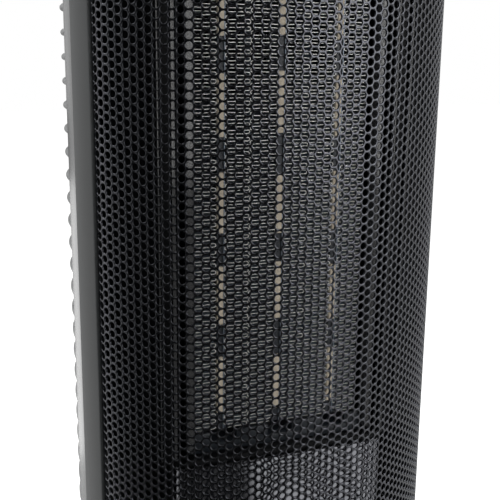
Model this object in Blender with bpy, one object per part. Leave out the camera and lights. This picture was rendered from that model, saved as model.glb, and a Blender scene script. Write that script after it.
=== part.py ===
"""Tower fan heater with a flame effect: a swinging tower on a round base.

Metres, +Z up, front at -Y. The origin is the middle of the base, on the table.
"""

from math import atan2, cos, floor, hypot, pi, radians, sin, sqrt, tau

import bmesh
import bpy
from mathutils import Matrix, Vector

# Driving dimensions
OVERALL_HEIGHT = 0.600
BASE_RADIUS = 0.116
BASE_TOP = 0.042
TOWER_HALF_WIDTH = 0.0942
TOWER_FRONT_DEPTH = 0.0727
TOWER_REAR_DEPTH = 0.0835
TOWER_GAP = 0.002
CAP_HEIGHT = 0.040
SHELL_WALL = 0.0025
SEAT_GAP = 0.0003
RUNNING_GAP = 0.0008
CUT_OVERRUN = 0.002

# Levels that several pieces share
FOOT_HEIGHT = 0.003
FLOOR_THICKNESS = 0.006
SHELF_THICKNESS = 0.003
MID_SHELF_TOP = 0.2615
UPPER_BAY_HEIGHT = 0.0485
FLOOR_LOW = BASE_TOP + TOWER_GAP
FLOOR_TOP = FLOOR_LOW + FLOOR_THICKNESS
CAP_LOW = OVERALL_HEIGHT - CAP_HEIGHT
TOP_SHELF_LOW = CAP_LOW - UPPER_BAY_HEIGHT
TOP_SHELF_TOP = TOP_SHELF_LOW + SHELF_THICKNESS

# How round the outlines are
ROUND_STEPS = 16
SMALL_ROUND_STEPS = 12
BASE_STEPS = 36
HALF_OUTLINE_STEPS = 12
REAR_SQUARENESS = 2.4
SMOOTH_ANGLE = radians(35)
WELD = 0.000005

# Sides of the trim, counted from the front around the front ellipse
GRILLE_END_ANGLE = radians(66)
TRIM_END_ANGLE = radians(79)

# Colour, roughness and metallic value of each finish
LOOKS = {
    "black_steel": ((0.020, 0.021, 0.022), 0.42, 0.6),
    "grey_satin": ((0.155, 0.160, 0.165), 0.38, 0.0),
    "black_gloss": ((0.008, 0.008, 0.009), 0.12, 0.0),
    "black_satin": ((0.018, 0.018, 0.019), 0.45, 0.0),
    "rubber": ((0.020, 0.020, 0.020), 0.85, 0.0),
    "white_nylon": ((0.72, 0.71, 0.68), 0.50, 0.0),
    "steel": ((0.55, 0.56, 0.57), 0.30, 1.0),
    "aluminium": ((0.62, 0.63, 0.64), 0.38, 1.0),
    "ceramic": ((0.62, 0.47, 0.33), 0.75, 0.0),
    "circuit": ((0.02, 0.10, 0.05), 0.50, 0.0),
    "smoked": ((0.015, 0.016, 0.018), 0.06, 0.0),
    "filter": ((0.10, 0.10, 0.11), 0.95, 0.0),
    "button": ((0.060, 0.062, 0.065), 0.35, 0.0),
    "mirror": ((0.80, 0.80, 0.80), 0.10, 1.0),
}


def clear_scene():
    for item in list(bpy.data.objects):
        bpy.data.objects.remove(item, do_unlink=True)


def add_empty(name, location=(0.0, 0.0, 0.0)):
    empty = bpy.data.objects.new(name, None)
    empty.location = location
    bpy.context.scene.collection.objects.link(empty)
    return empty


def paint(obj, look):
    colour, roughness, metallic = LOOKS[look]
    material = bpy.data.materials.new(obj.name + "_" + look)
    material.use_nodes = True
    shader = material.node_tree.nodes["Principled BSDF"]
    shader.inputs["Base Color"].default_value = (*colour, 1.0)
    shader.inputs["Roughness"].default_value = roughness
    shader.inputs["Metallic"].default_value = metallic
    obj.data.materials.append(material)


def add_piece(name, bm, look, parent=None, location=(0.0, 0.0, 0.0)):
    """Make an object of a closed mesh, with its origin at location."""
    bmesh.ops.recalc_face_normals(bm, faces=bm.faces)
    mesh = bpy.data.meshes.new(name)
    bm.to_mesh(mesh)
    bm.free()
    mesh.shade_smooth()
    mesh.set_sharp_from_angle(angle=SMOOTH_ANGLE)
    obj = bpy.data.objects.new(name, mesh)
    bpy.context.scene.collection.objects.link(obj)
    obj.location = location
    obj.parent = parent
    paint(obj, look)
    return obj


def cut(obj, name, bm, operation="DIFFERENCE"):
    """Take a cutter's shape out of obj, or join it, with the cutter left hidden."""
    bmesh.ops.recalc_face_normals(bm, faces=bm.faces)
    mesh = bpy.data.meshes.new(name)
    bm.to_mesh(mesh)
    bm.free()
    cutter = bpy.data.objects.new(name, mesh)
    bpy.context.scene.collection.objects.link(cutter)
    cutter.parent = obj.parent
    cutter.location = obj.location
    cutter.hide_render = True
    cutter.display_type = "WIRE"
    modifier = obj.modifiers.new(name, "BOOLEAN")
    modifier.operation = operation
    modifier.solver = "EXACT"
    modifier.object = cutter


def loft(bm, rings):
    """A solid through closed rings of equal length, in order."""
    rows = [[bm.verts.new(point) for point in ring] for ring in rings]
    for low, high in zip(rows, rows[1:]):
        for i in range(len(low)):
            j = (i + 1) % len(low)
            bm.faces.new((low[i], low[j], high[j], high[i]))
    bm.faces.new(reversed(rows[0]))
    bm.faces.new(rows[-1])
    return bm


def level(outline, z):
    return [(x, y, z) for x, y in outline]


def prism(outline, low, high, bm=None):
    """An upright prism on a flat outline."""
    bm = bm or bmesh.new()
    return loft(bm, [level(outline, low), level(outline, high)])


def side_prism(outline, low, high, bm=None):
    """A prism along X, on an outline of (y, z) points."""
    bm = bm or bmesh.new()
    return loft(bm, [[(x, y, z) for y, z in outline] for x in (low, high)])


def box(low, high, bm=None):
    corners = [(low[0], low[1]), (high[0], low[1]), (high[0], high[1]), (low[0], high[1])]
    return prism(corners, low[2], high[2], bm)


def circle(radius, steps=ROUND_STEPS, centre=(0.0, 0.0)):
    turns = [tau * i / steps for i in range(steps)]
    return [(centre[0] + radius * cos(a), centre[1] + radius * sin(a)) for a in turns]


def rounded_box(half_x, half_y, radius, centre=(0.0, 0.0), corner_steps=3):
    """The outline of a rectangle with round corners."""
    points = []
    for quarter, (sx, sy) in enumerate(((1, 1), (-1, 1), (-1, -1), (1, -1))):
        for i in range(corner_steps + 1):
            a = pi / 2 * (quarter + i / corner_steps)
            x = centre[0] + sx * (half_x - radius) + radius * cos(a)
            y = centre[1] + sy * (half_y - radius) + radius * sin(a)
            points.append((x, y))
    return points


def turn(profile, steps=ROUND_STEPS, axis="Z"):
    """Spin a profile of (radius, height) points round its axis.

    A profile whose first and last radius are zero makes a solid, any other a ring.
    """
    bm = bmesh.new()
    verts = [bm.verts.new((r, 0.0, z)) for r, z in profile]
    edges = [bm.edges.new(pair) for pair in zip(verts, verts[1:])]
    if profile[0][0] > 0.0:
        edges.append(bm.edges.new((verts[-1], verts[0])))
    bmesh.ops.spin(
        bm, geom=verts + edges, cent=(0, 0, 0), axis=(0, 0, 1),
        angle=tau, steps=steps, use_merge=True,
    )
    bmesh.ops.remove_doubles(bm, verts=bm.verts, dist=WELD)
    if axis == "X":
        bm.transform(Matrix.Rotation(pi / 2, 4, "Y"))
    if axis == "Y":
        bm.transform(Matrix.Rotation(-pi / 2, 4, "X"))
    return bm


def move(bm, x=0.0, y=0.0, z=0.0):
    bm.transform(Matrix.Translation((x, y, z)))
    return bm


def front_point(angle, inset=0.0):
    """A point of the front ellipse, at an angle counted from straight ahead."""
    return ((TOWER_HALF_WIDTH - inset) * sin(angle), -(TOWER_FRONT_DEPTH - inset) * cos(angle))


def rear_point(angle, half_width, depth):
    """A point of the squarish rear curve, from +X (0) round to -X (pi)."""
    power = 2 / REAR_SQUARENESS
    side = 1 if cos(angle) > 0 else -1
    return (side * half_width * abs(cos(angle)) ** power, depth * abs(sin(angle)) ** power)


def tower_outline(inset=0.0):
    """The whole closed outline of the tower, seen from above."""
    steps = HALF_OUTLINE_STEPS
    front = [front_point(pi * (i / steps - 0.5), inset) for i in range(steps)]
    half_width = TOWER_HALF_WIDTH - inset
    depth = TOWER_REAR_DEPTH - inset
    rear = [rear_point(pi * i / steps, half_width, depth) for i in range(steps)]
    return front + rear


def quarter_round(centre, radii, start, end, steps):
    """Points of an arc with two radii, as profile points."""
    angles = [start + (end - start) * i / steps for i in range(steps + 1)]
    return [(centre[0] + radii[0] * cos(a), centre[1] + radii[1] * sin(a)) for a in angles]


# Base: plate, cover, feet and the parts that it holds
PLATE_THICKNESS = 0.003
PLATE_FIT = 0.0005
FOOT_RADIUS = 0.010
FOOT_CIRCLE = 0.096
POST_RADIUS = 0.0148
POST_TOP = 0.036
CABLE_RADIUS = 0.008
COVER_SIDE_TOP = 0.022
COVER_SHOULDER = 0.020
COVER_RIM_DROP = 0.003
COVER_ROUND_STEPS = 3
HUB_RADIUS = 0.030
HUB_STEPS = 20
PLATE_LOW = FOOT_HEIGHT + SEAT_GAP
PLATE_TOP = PLATE_LOW + PLATE_THICKNESS
COVER_OPENING = HUB_RADIUS + RUNNING_GAP
PLATE_RADIUS = BASE_RADIUS - SHELL_WALL - PLATE_FIT


def make_feet():
    places = {
        "foot_front_left": (-1, -1), "foot_front_right": (1, -1),
        "foot_rear_left": (-1, 1), "foot_rear_right": (1, 1),
    }
    offset = FOOT_CIRCLE * cos(pi / 4)
    for name, (sx, sy) in places.items():
        bm = prism(circle(FOOT_RADIUS, SMALL_ROUND_STEPS), 0.0, FOOT_HEIGHT)
        add_piece(name, bm, "rubber", location=(sx * offset, sy * offset, 0.0))


def make_base_plate():
    plate = prism(circle(PLATE_RADIUS, BASE_STEPS), PLATE_LOW, PLATE_TOP)
    plate = add_piece("base_plate", plate, "black_satin")
    middle = (PLATE_LOW + PLATE_TOP) / 2
    cut(plate, "post", prism(circle(POST_RADIUS, HUB_STEPS), middle, POST_TOP), "UNION")
    bore = prism(circle(CABLE_RADIUS, SMALL_ROUND_STEPS), -CUT_OVERRUN, POST_TOP + CUT_OVERRUN)
    cut(plate, "cable_bore", bore)
    outline = circle(PLUNGER_HOLE, SMALL_ROUND_STEPS, PLUNGER_PLACE)
    cut(plate, "plunger_hole", prism(outline, -CUT_OVERRUN, PLATE_TOP + CUT_OVERRUN))


def make_base_cover():
    shoulder = (BASE_RADIUS - COVER_SHOULDER, COVER_SIDE_TOP)
    rise = BASE_TOP - COVER_RIM_DROP - COVER_SIDE_TOP
    outer = quarter_round(shoulder, (COVER_SHOULDER, rise), 0.0, pi / 2, COVER_ROUND_STEPS)
    inner_radii = (COVER_SHOULDER - SHELL_WALL, rise - SHELL_WALL)
    inner = quarter_round(shoulder, inner_radii, pi / 2, 0.0, 1)
    profile = [(BASE_RADIUS, PLATE_LOW)] + outer
    profile += [(COVER_OPENING, BASE_TOP), (COVER_OPENING, BASE_TOP - SHELL_WALL)]
    profile += inner + [(BASE_RADIUS - SHELL_WALL, PLATE_LOW)]
    cover = add_piece("base_cover", turn(profile, BASE_STEPS), "black_gloss")
    hole = turn([(0.0, -GLAND_LENGTH), (GLAND_HOLE, -GLAND_LENGTH),
                 (GLAND_HOLE, GLAND_LENGTH), (0.0, GLAND_LENGTH)], SMALL_ROUND_STEPS, "Y")
    cut(cover, "gland_hole", move(hole, y=BASE_RADIUS, z=GLAND_HEIGHT))


# The lead leaves the back of the base through this gland
GLAND_BODY = 0.0055
GLAND_FLANGE = 0.0070
GLAND_BORE = 0.0034
GLAND_LENGTH = 0.010
GLAND_FLANGE_THICKNESS = 0.002
GLAND_RECESS = 0.0004
GLAND_HEIGHT = 0.0143
GLAND_HOLE = GLAND_BODY + SEAT_GAP


def make_cord_gland():
    outer_end = BASE_RADIUS - GLAND_RECESS
    facet_radius = (BASE_RADIUS - SHELL_WALL) * cos(pi / BASE_STEPS)
    flange_end = sqrt(facet_radius ** 2 - GLAND_FLANGE ** 2) - SEAT_GAP
    flange_start = flange_end - GLAND_FLANGE_THICKNESS
    profile = [
        (GLAND_BORE, outer_end - GLAND_LENGTH), (GLAND_BODY, outer_end - GLAND_LENGTH),
        (GLAND_BODY, flange_start), (GLAND_FLANGE, flange_start),
        (GLAND_FLANGE, flange_end), (GLAND_BODY, flange_end),
        (GLAND_BODY, outer_end), (GLAND_BORE, outer_end),
    ]
    add_piece("cord_gland", move(turn(profile, SMALL_ROUND_STEPS, "Y"), z=GLAND_HEIGHT), "rubber")


# Tip-over switch: its plunger reaches through the base plate to the table
PLUNGER_PLACE = (-0.055, -0.040)
PLUNGER_RADIUS = 0.003
PLUNGER_HOLE = PLUNGER_RADIUS + RUNNING_GAP
PLUNGER_TIP = 0.0004
PLUNGER_TOP = 0.0125
SWITCH_SIZE = (0.020, 0.012, 0.014)
SWITCH_BORE = PLUNGER_RADIUS + SEAT_GAP


def make_tip_switch():
    half_x, half_y = SWITCH_SIZE[0] / 2, SWITCH_SIZE[1] / 2
    low = PLATE_TOP + SEAT_GAP
    body = box((-half_x, -half_y, 0.0), (half_x, half_y, SWITCH_SIZE[2]))
    switch = add_piece("tip_switch", body, "black_satin", location=(*PLUNGER_PLACE, low))
    outline = circle(SWITCH_BORE, SMALL_ROUND_STEPS)
    bore = prism(outline, -CUT_OVERRUN, PLUNGER_TOP - low + CUT_OVERRUN)
    cut(switch, "tip_switch_bore", bore)


def make_tip_plunger():
    tip = PLUNGER_RADIUS / 2
    profile = [
        (0.0, 0.0), (tip, 0.0), (PLUNGER_RADIUS, tip),
        (PLUNGER_RADIUS, PLUNGER_TOP - PLUNGER_TIP), (0.0, PLUNGER_TOP - PLUNGER_TIP),
    ]
    place = (*PLUNGER_PLACE, PLUNGER_TIP)
    add_piece("tip_plunger", turn(profile, SMALL_ROUND_STEPS), "white_nylon", location=place)


# Swing drive: a pinion on the motor turns the tower by a toothed sector
GEAR_MODULE = 0.0015
SECTOR_TEETH = 60
SECTOR_CUT_TEETH = 16
PINION_TEETH = 14
GEAR_LOW = 0.0195
GEAR_THICKNESS = 0.005
SECTOR_BAND = 0.007
MOTOR_RADIUS = 0.021
SHAFT_RADIUS = 0.0025
MOTOR_TOP = GEAR_LOW - RUNNING_GAP
MOTOR_BOSS_RADIUS = 0.006
SECTOR_PITCH_RADIUS = GEAR_MODULE * SECTOR_TEETH / 2
PINION_PITCH_RADIUS = GEAR_MODULE * PINION_TEETH / 2
PINION_Y = SECTOR_PITCH_RADIUS + PINION_PITCH_RADIUS
TOOTH_ADDENDUM_SHARE = 0.80
TOOTH_DEDENDUM_SHARE = 1.15
TOOTH_TIP_SHARE = 0.14
TOOTH_PITCH_SHARE = 0.21
TOOTH_ROOT_SHARE = 0.30


def tooth_points(teeth, middle):
    """Root, flank and tip points of one tooth, as half widths in shares of the pitch."""
    pitch_radius = GEAR_MODULE * teeth / 2
    tip = pitch_radius + GEAR_MODULE * TOOTH_ADDENDUM_SHARE
    root = pitch_radius - GEAR_MODULE * TOOTH_DEDENDUM_SHARE
    flanks = ((root, TOOTH_ROOT_SHARE), (pitch_radius, TOOTH_PITCH_SHARE), (tip, TOOTH_TIP_SHARE))
    step = tau / teeth
    rising = [(r, middle - share * step) for r, share in flanks]
    falling = [(r, middle + share * step) for r, share in reversed(flanks)]
    return [(r * cos(a), r * sin(a)) for r, a in rising + falling]


def make_swing_motor():
    low = PLATE_TOP + SEAT_GAP
    bore = SHAFT_RADIUS + SEAT_GAP
    body_top = MOTOR_TOP - MOTOR_BOSS_RADIUS / 3
    profile = [
        (bore, low), (MOTOR_RADIUS, low), (MOTOR_RADIUS, body_top),
        (MOTOR_BOSS_RADIUS, body_top), (MOTOR_BOSS_RADIUS, MOTOR_TOP), (bore, MOTOR_TOP),
    ]
    add_piece("swing_motor", turn(profile), "steel", location=(0.0, PINION_Y, 0.0))


def make_swing_pinion(pivot):
    outline = []
    for i in range(PINION_TEETH):
        outline += tooth_points(PINION_TEETH, -pi / 2 + tau * i / PINION_TEETH)
    shaft_low = PLATE_TOP + RUNNING_GAP
    bm = prism(outline, GEAR_LOW, GEAR_LOW + GEAR_THICKNESS)
    pinion = add_piece("swing_pinion", bm, "white_nylon", pivot)
    outline = circle(SHAFT_RADIUS, SMALL_ROUND_STEPS)
    shaft = prism(outline, shaft_low, GEAR_LOW + GEAR_THICKNESS / 2)
    cut(pinion, "pinion_shaft", shaft, "UNION")


def make_sector_gear(tower):
    """A band round the hub with teeth towards the pinion only."""
    band_inner = HUB_RADIUS + SEAT_GAP
    band_outer = band_inner + SECTOR_BAND
    step = tau / SECTOR_TEETH
    half = SECTOR_CUT_TEETH // 2
    teeth = []
    for i in range(-half, half):
        teeth += tooth_points(SECTOR_TEETH, pi / 2 + (i + 0.5) * step)
    start = atan2(teeth[0][1], teeth[0][0])
    last = atan2(teeth[-1][1], teeth[-1][0])
    sweep = start + tau - last
    rest = [last + sweep * (i + 0.5) / ROUND_STEPS for i in range(ROUND_STEPS)]
    outline = teeth + [(band_outer * cos(a), band_outer * sin(a)) for a in rest]
    bm = prism(outline, GEAR_LOW, GEAR_LOW + GEAR_THICKNESS)
    gear = add_piece("sector_gear", bm, "white_nylon", tower)
    bore = prism(circle(band_inner, HUB_STEPS), 0.0, GEAR_LOW + GEAR_THICKNESS + CUT_OVERRUN)
    cut(gear, "sector_bore", bore)


# Swivel: the hub turns on the post, on a washer, with a flange under the cover
WASHER_THICKNESS = 0.0044
HUB_FLANGE = 0.0385
HUB_FLANGE_LOW = 0.029
HUB_FLANGE_THICKNESS = 0.003
HUB_BORE = POST_RADIUS + RUNNING_GAP
WASHER_LOW = PLATE_TOP + SEAT_GAP
WASHER_TOP = WASHER_LOW + WASHER_THICKNESS
HUB_LOW = WASHER_TOP + SEAT_GAP
HUB_TOP = FLOOR_LOW - SEAT_GAP


def make_thrust_washer():
    profile = [
        (HUB_BORE, WASHER_LOW), (HUB_RADIUS, WASHER_LOW),
        (HUB_RADIUS, WASHER_TOP), (HUB_BORE, WASHER_TOP),
    ]
    add_piece("thrust_washer", turn(profile, HUB_STEPS), "white_nylon")


def make_tower_hub(tower):
    flange_top = HUB_FLANGE_LOW + HUB_FLANGE_THICKNESS
    profile = [
        (HUB_BORE, HUB_LOW), (HUB_RADIUS, HUB_LOW), (HUB_RADIUS, HUB_FLANGE_LOW),
        (HUB_FLANGE, HUB_FLANGE_LOW), (HUB_FLANGE, flange_top), (HUB_RADIUS, flange_top),
        (HUB_RADIUS, HUB_TOP), (HUB_BORE, HUB_TOP),
    ]
    add_piece("tower_hub", turn(profile, HUB_STEPS), "black_satin", tower)


# Tower floor and rear shell
FLOOR_CHAMFER = 0.002
RIB_PITCH = 0.01207
RIB_HEIGHT = 0.0030
RIB_WIDTH = 0.0044
RIB_LOWEST = 0.2401
REAR_HALF_WIDTH = 0.0895
REAR_DEPTH = 0.0800
REAR_STEPS = 9
SLOT_HALF_WIDTH = 0.040
SLOT_END_GAP = 0.006
TRIM_REAR_Y = -TOWER_FRONT_DEPTH * cos(TRIM_END_ANGLE)
REAR_FRONT_Y = TRIM_REAR_Y + SEAT_GAP
SHELL_LOW = FLOOR_TOP + SEAT_GAP
SHELL_TOP = CAP_LOW - SEAT_GAP


def make_tower_floor(tower):
    bm = bmesh.new()
    outer = tower_outline()
    rings = [
        level(tower_outline(FLOOR_CHAMFER), FLOOR_LOW),
        level(outer, FLOOR_LOW + FLOOR_CHAMFER),
        level(outer, FLOOR_TOP),
    ]
    tower_floor = add_piece("tower_floor", loft(bm, rings), "grey_satin", tower)
    bore = prism(circle(HUB_BORE), FLOOR_LOW - CUT_OVERRUN, FLOOR_TOP + CUT_OVERRUN)
    cut(tower_floor, "tower_floor_bore", bore)


def rear_line(outset=0.0):
    """The rear shell's line, from its front edge at +X round the back to -X."""
    half_width = REAR_HALF_WIDTH + outset
    depth = REAR_DEPTH + outset
    curve = [rear_point(pi * i / REAR_STEPS, half_width, depth) for i in range(REAR_STEPS + 1)]
    return [(half_width, REAR_FRONT_Y)] + curve + [(-half_width, REAR_FRONT_Y)]


def rib_levels():
    count = int((SHELL_TOP - RIB_WIDTH - RIB_LOWEST) / RIB_PITCH) + 1
    return [RIB_LOWEST + RIB_PITCH * i for i in range(count)]


def make_rear_shell(tower):
    """A curved wall with a crest all round it at each rib."""
    stations = [(SHELL_LOW, 0.0)]
    for z in rib_levels():
        stations += [(z - RIB_WIDTH / 2, 0.0), (z, RIB_HEIGHT), (z + RIB_WIDTH / 2, 0.0)]
    stations.append((SHELL_TOP, 0.0))
    bm = bmesh.new()
    outer = [[bm.verts.new((x, y, z)) for x, y in rear_line(out)] for z, out in stations]
    inner_line = rear_line(-SHELL_WALL)
    inner = [[bm.verts.new((x, y, z)) for x, y in inner_line] for z in (SHELL_LOW, SHELL_TOP)]
    rows = outer + inner[::-1] + [outer[0]]
    for low, high in zip(rows, rows[1:]):
        for i in range(len(low) - 1):
            bm.faces.new((low[i], low[i + 1], high[i + 1], high[i]))
    for i in (0, -1):
        bm.faces.new([row[i] for row in rows[:-1]])
    shell = add_piece("rear_shell", bm, "grey_satin", tower)
    cut(shell, "intake_slots", intake_cutter())


def intake_cutter():
    """One slot in each valley between ribs, behind the blower."""
    bm = bmesh.new()
    half_height = (RIB_PITCH - RIB_WIDTH) / 2 - SEAT_GAP
    for z in rib_levels():
        middle = z + RIB_PITCH / 2
        low, high = middle - half_height, middle + half_height
        if low > MID_SHELF_TOP + SLOT_END_GAP and high < TOP_SHELF_LOW - SLOT_END_GAP:
            near = REAR_DEPTH / 2
            far = REAR_DEPTH + RIB_HEIGHT + CUT_OVERRUN
            box((-SLOT_HALF_WIDTH, near, low), (SLOT_HALF_WIDTH, far, high), bm)
    return bm


# Perforated grille, a thin steel sheet bent round the front
SHEET_THICKNESS = 0.0010
PERFORATION_PITCH = 0.031
PERFORATION_HOLE_SHARE = 0.875
PERFORATION_BORDER = 0.0125
GRILLE_LOW = FLOOR_TOP + SEAT_GAP
GRILLE_TOP = CAP_LOW - SEAT_GAP
ARC_STEPS = 400


def arc_table():
    """Running arc length along the front ellipse, for equal steps of angle."""
    step = GRILLE_END_ANGLE / ARC_STEPS
    table = [0.0]
    for i in range(ARC_STEPS):
        a = front_point(step * i)
        b = front_point(step * (i + 1))
        table.append(table[-1] + hypot(b[0] - a[0], b[1] - a[1]))
    return table


def bend_to_front(s, table):
    """The point of the front ellipse at arc length s from its middle."""
    reach = min(abs(s), table[-1])
    i = max(k for k in range(ARC_STEPS) if table[k] <= reach)
    share = (reach - table[i]) / (table[i + 1] - table[i])
    x, y = front_point(GRILLE_END_ANGLE * (i + share) / ARC_STEPS)
    return (x if s > 0 else -x, y)


def perforated_faces(half_length, low, high):
    """Flat faces (s, z) of a sheet of hexagonal holes in staggered columns."""
    point = PERFORATION_PITCH / sqrt(3)
    flat = point / 2
    column_step = point * 1.5
    half = PERFORATION_PITCH / 2
    hole = half * PERFORATION_HOLE_SHARE
    spread = (half_length - hole - PERFORATION_BORDER / 4) / column_step
    side_columns = floor(spread)
    rows = floor((high - low - PERFORATION_BORDER) / PERFORATION_PITCH)
    start = (low + high - rows * PERFORATION_PITCH) / 2
    end = start + rows * PERFORATION_PITCH
    right = ((flat, -half), (point, 0.0), (flat, half))
    left = ((-flat, half), (-point, 0.0), (-flat, -half))
    turns = [radians(60 * k - 60) for k in range(6)]
    faces = []
    stops = []
    for column in range(-side_columns, side_columns + 1):
        s = column * column_step
        odd = (side_columns - column) % 2
        for row in range(rows - odd):
            z = start + PERFORATION_PITCH * (row + (1 + odd) / 2)
            outer = [(s + ds, z + dz) for ds, dz in right + left]
            if column == side_columns:
                outer[:3] = [(half_length, z + dz) for ds, dz in right]
            if column == -side_columns:
                outer[3:] = [(-half_length, z + dz) for ds, dz in left]
            inner = [(s + hole * cos(a), z + hole * sin(a)) for a in turns]
            faces += [(outer[k - 1], outer[k], inner[k], inner[k - 1]) for k in range(6)]
        if odd:
            for edge, inward in ((start, half), (end, -half)):
                wide = [(s - point, edge), (s + point, edge)]
                faces.append(wide + [(s + flat, edge + inward), (s - flat, edge + inward)])
        else:
            stops += [s - flat, s + flat]
    stops = [-half_length, *stops[1:-1], half_length]
    for a, b in zip(stops, stops[1:]):
        faces.append(((a, low), (b, low), (b, start), (a, start)))
        faces.append(((a, end), (b, end), (b, high), (a, high)))
    return faces


def make_front_grille(tower):
    table = arc_table()
    bm = bmesh.new()
    for face in perforated_faces(table[-1], GRILLE_LOW, GRILLE_TOP):
        bm.faces.new([bm.verts.new((*bend_to_front(s, table), z)) for s, z in face])
    bmesh.ops.remove_doubles(bm, verts=bm.verts, dist=WELD)
    grille = add_piece("front_grille", bm, "black_steel", tower)
    thicken = grille.modifiers.new("sheet", "SOLIDIFY")
    thicken.thickness = SHEET_THICKNESS
    thicken.offset = -1.0
    thicken.use_even_offset = True


# Side trims between the grille and the rear shell
TRIM_THICKNESS = 0.0045
TRIM_CHAMFER_ANGLE = radians(3)
TRIM_CHAMFER = 0.0012
TRIM_FRONT_GAP = 0.0009
TRIM_STEPS = 4


def trim_outline(side):
    start = GRILLE_END_ANGLE + TRIM_FRONT_GAP / TOWER_HALF_WIDTH
    face_end = TRIM_END_ANGLE - TRIM_CHAMFER_ANGLE
    angles = [start + (face_end - start) * i / TRIM_STEPS for i in range(TRIM_STEPS + 1)]
    points = [front_point(a) for a in angles]
    points.append(front_point(TRIM_END_ANGLE, TRIM_CHAMFER))
    inner = [front_point(a, TRIM_THICKNESS) for a in (TRIM_END_ANGLE, start)]
    inner[0] = (inner[0][0], points[-1][1])
    return [(side * x, y) for x, y in points + inner]


def make_trims(tower):
    for name, side in (("trim_left", -1), ("trim_right", 1)):
        bm = prism(trim_outline(side), GRILLE_LOW, GRILLE_TOP)
        add_piece(name, bm, "grey_satin", tower)


# Top cap with its control panel, display and buttons
CAP_ROUND = 0.010
CAP_ROUND_STEPS = 3
CAP_ROOF = 0.0085
PANEL_HALF = (0.058, 0.022)
PANEL_CORNER = 0.008
PANEL_Y = -0.018
PANEL_THICKNESS = 0.0022
PANEL_RECESS = 0.0010
PANEL_LEDGE = 0.0025
DISPLAY_HALF = (0.018, 0.0065)
DISPLAY_CORNER = 0.002
DISPLAY_Y = 0.009
BUTTON_NAMES = ("power", "heat", "timer", "swing", "flame")
BUTTON_RADIUS = 0.0065
BUTTON_SPACING = 0.021
BUTTON_Y = -0.0105
BUTTON_RISE = 0.0007
BUTTON_TRAVEL = 0.0008
BUTTON_FLANGE = 0.0012
BUTTON_FLANGE_THICKNESS = 0.0010
BUTTON_GAP = 0.0003
BOARD_THICKNESS = 0.0016
BOARD_HALF = (0.054, 0.018)
SWITCH_HALF = 0.003
SWITCH_HEIGHT = 0.003
PANEL_TOP = OVERALL_HEIGHT - PANEL_RECESS
PANEL_LOW = PANEL_TOP - PANEL_THICKNESS
BUTTON_LOW = PANEL_LOW - BUTTON_GAP - BUTTON_FLANGE_THICKNESS
SWITCH_TOP = BUTTON_LOW - BUTTON_TRAVEL - BUTTON_GAP
BOARD_TOP = SWITCH_TOP - SWITCH_HEIGHT
BOARD_LOW = BOARD_TOP - BOARD_THICKNESS


def make_top_cap(tower):
    """A domed cap, hollow below, with a stepped opening for the panel."""
    arc = quarter_round((0.0, 0.0), (CAP_ROUND, CAP_ROUND), 0.0, pi / 2, CAP_ROUND_STEPS)
    rings = [level(tower_outline(), CAP_LOW)]
    rings += [level(tower_outline(CAP_ROUND - x), OVERALL_HEIGHT - CAP_ROUND + y) for x, y in arc]
    cap = add_piece("top_cap", loft(bmesh.new(), rings), "grey_satin", tower)
    hollow = [level(tower_outline(SHELL_WALL), CAP_LOW - CUT_OVERRUN)]
    for x, y in arc:
        inset = SHELL_WALL + CAP_ROUND - x
        hollow.append(level(tower_outline(inset), OVERALL_HEIGHT - CAP_ROOF - CAP_ROUND + y))
    cut(cap, "cap_hollow", loft(bmesh.new(), hollow))
    seat = (PANEL_HALF[0] + SEAT_GAP, PANEL_HALF[1] + SEAT_GAP)
    recess = rounded_box(*seat, PANEL_CORNER, (0.0, PANEL_Y))
    cut(cap, "panel_recess", prism(recess, PANEL_LOW - SEAT_GAP, OVERALL_HEIGHT + CUT_OVERRUN))
    ledge = (PANEL_HALF[0] - PANEL_LEDGE, PANEL_HALF[1] - PANEL_LEDGE)
    opening = rounded_box(*ledge, PANEL_CORNER - PANEL_LEDGE, (0.0, PANEL_Y))
    cut(cap, "panel_opening", prism(opening, BOARD_LOW - CUT_OVERRUN, PANEL_TOP))


def button_places():
    first = -(len(BUTTON_NAMES) - 1) / 2 * BUTTON_SPACING
    return [(first + i * BUTTON_SPACING, PANEL_Y + BUTTON_Y) for i in range(len(BUTTON_NAMES))]


def make_control_panel(tower):
    outline = rounded_box(*PANEL_HALF, PANEL_CORNER, (0.0, PANEL_Y))
    panel = add_piece("control_panel", prism(outline, PANEL_LOW, PANEL_TOP), "black_gloss", tower)
    low, high = PANEL_LOW - CUT_OVERRUN, PANEL_TOP + CUT_OVERRUN
    holes = bmesh.new()
    for place in button_places():
        prism(circle(BUTTON_RADIUS + BUTTON_GAP, SMALL_ROUND_STEPS, place), low, high, holes)
    half_x, half_y = DISPLAY_HALF[0] + SEAT_GAP, DISPLAY_HALF[1] + SEAT_GAP
    window = rounded_box(half_x, half_y, DISPLAY_CORNER, (0.0, PANEL_Y + DISPLAY_Y), 2)
    prism(window, low, high, holes)
    cut(panel, "panel_holes", holes)


def make_display_window(tower):
    outline = rounded_box(*DISPLAY_HALF, DISPLAY_CORNER, (0.0, PANEL_Y + DISPLAY_Y), 2)
    add_piece("display_window", prism(outline, PANEL_LOW, PANEL_TOP), "smoked", tower)


def make_buttons(tower):
    """Each button is a disc on a wider flange that keeps it under the panel."""
    top = PANEL_TOP + BUTTON_RISE - BUTTON_LOW
    edge = BUTTON_RISE / 2
    flange = BUTTON_RADIUS + BUTTON_FLANGE
    profile = [
        (0.0, 0.0), (flange, 0.0), (flange, BUTTON_FLANGE_THICKNESS),
        (BUTTON_RADIUS, BUTTON_FLANGE_THICKNESS), (BUTTON_RADIUS, top - edge),
        (BUTTON_RADIUS - edge, top), (0.0, top),
    ]
    for name, (x, y) in zip(BUTTON_NAMES, button_places()):
        disc = turn(profile, SMALL_ROUND_STEPS)
        add_piece("button_" + name, disc, "button", tower, (x, y, BUTTON_LOW))


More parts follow.
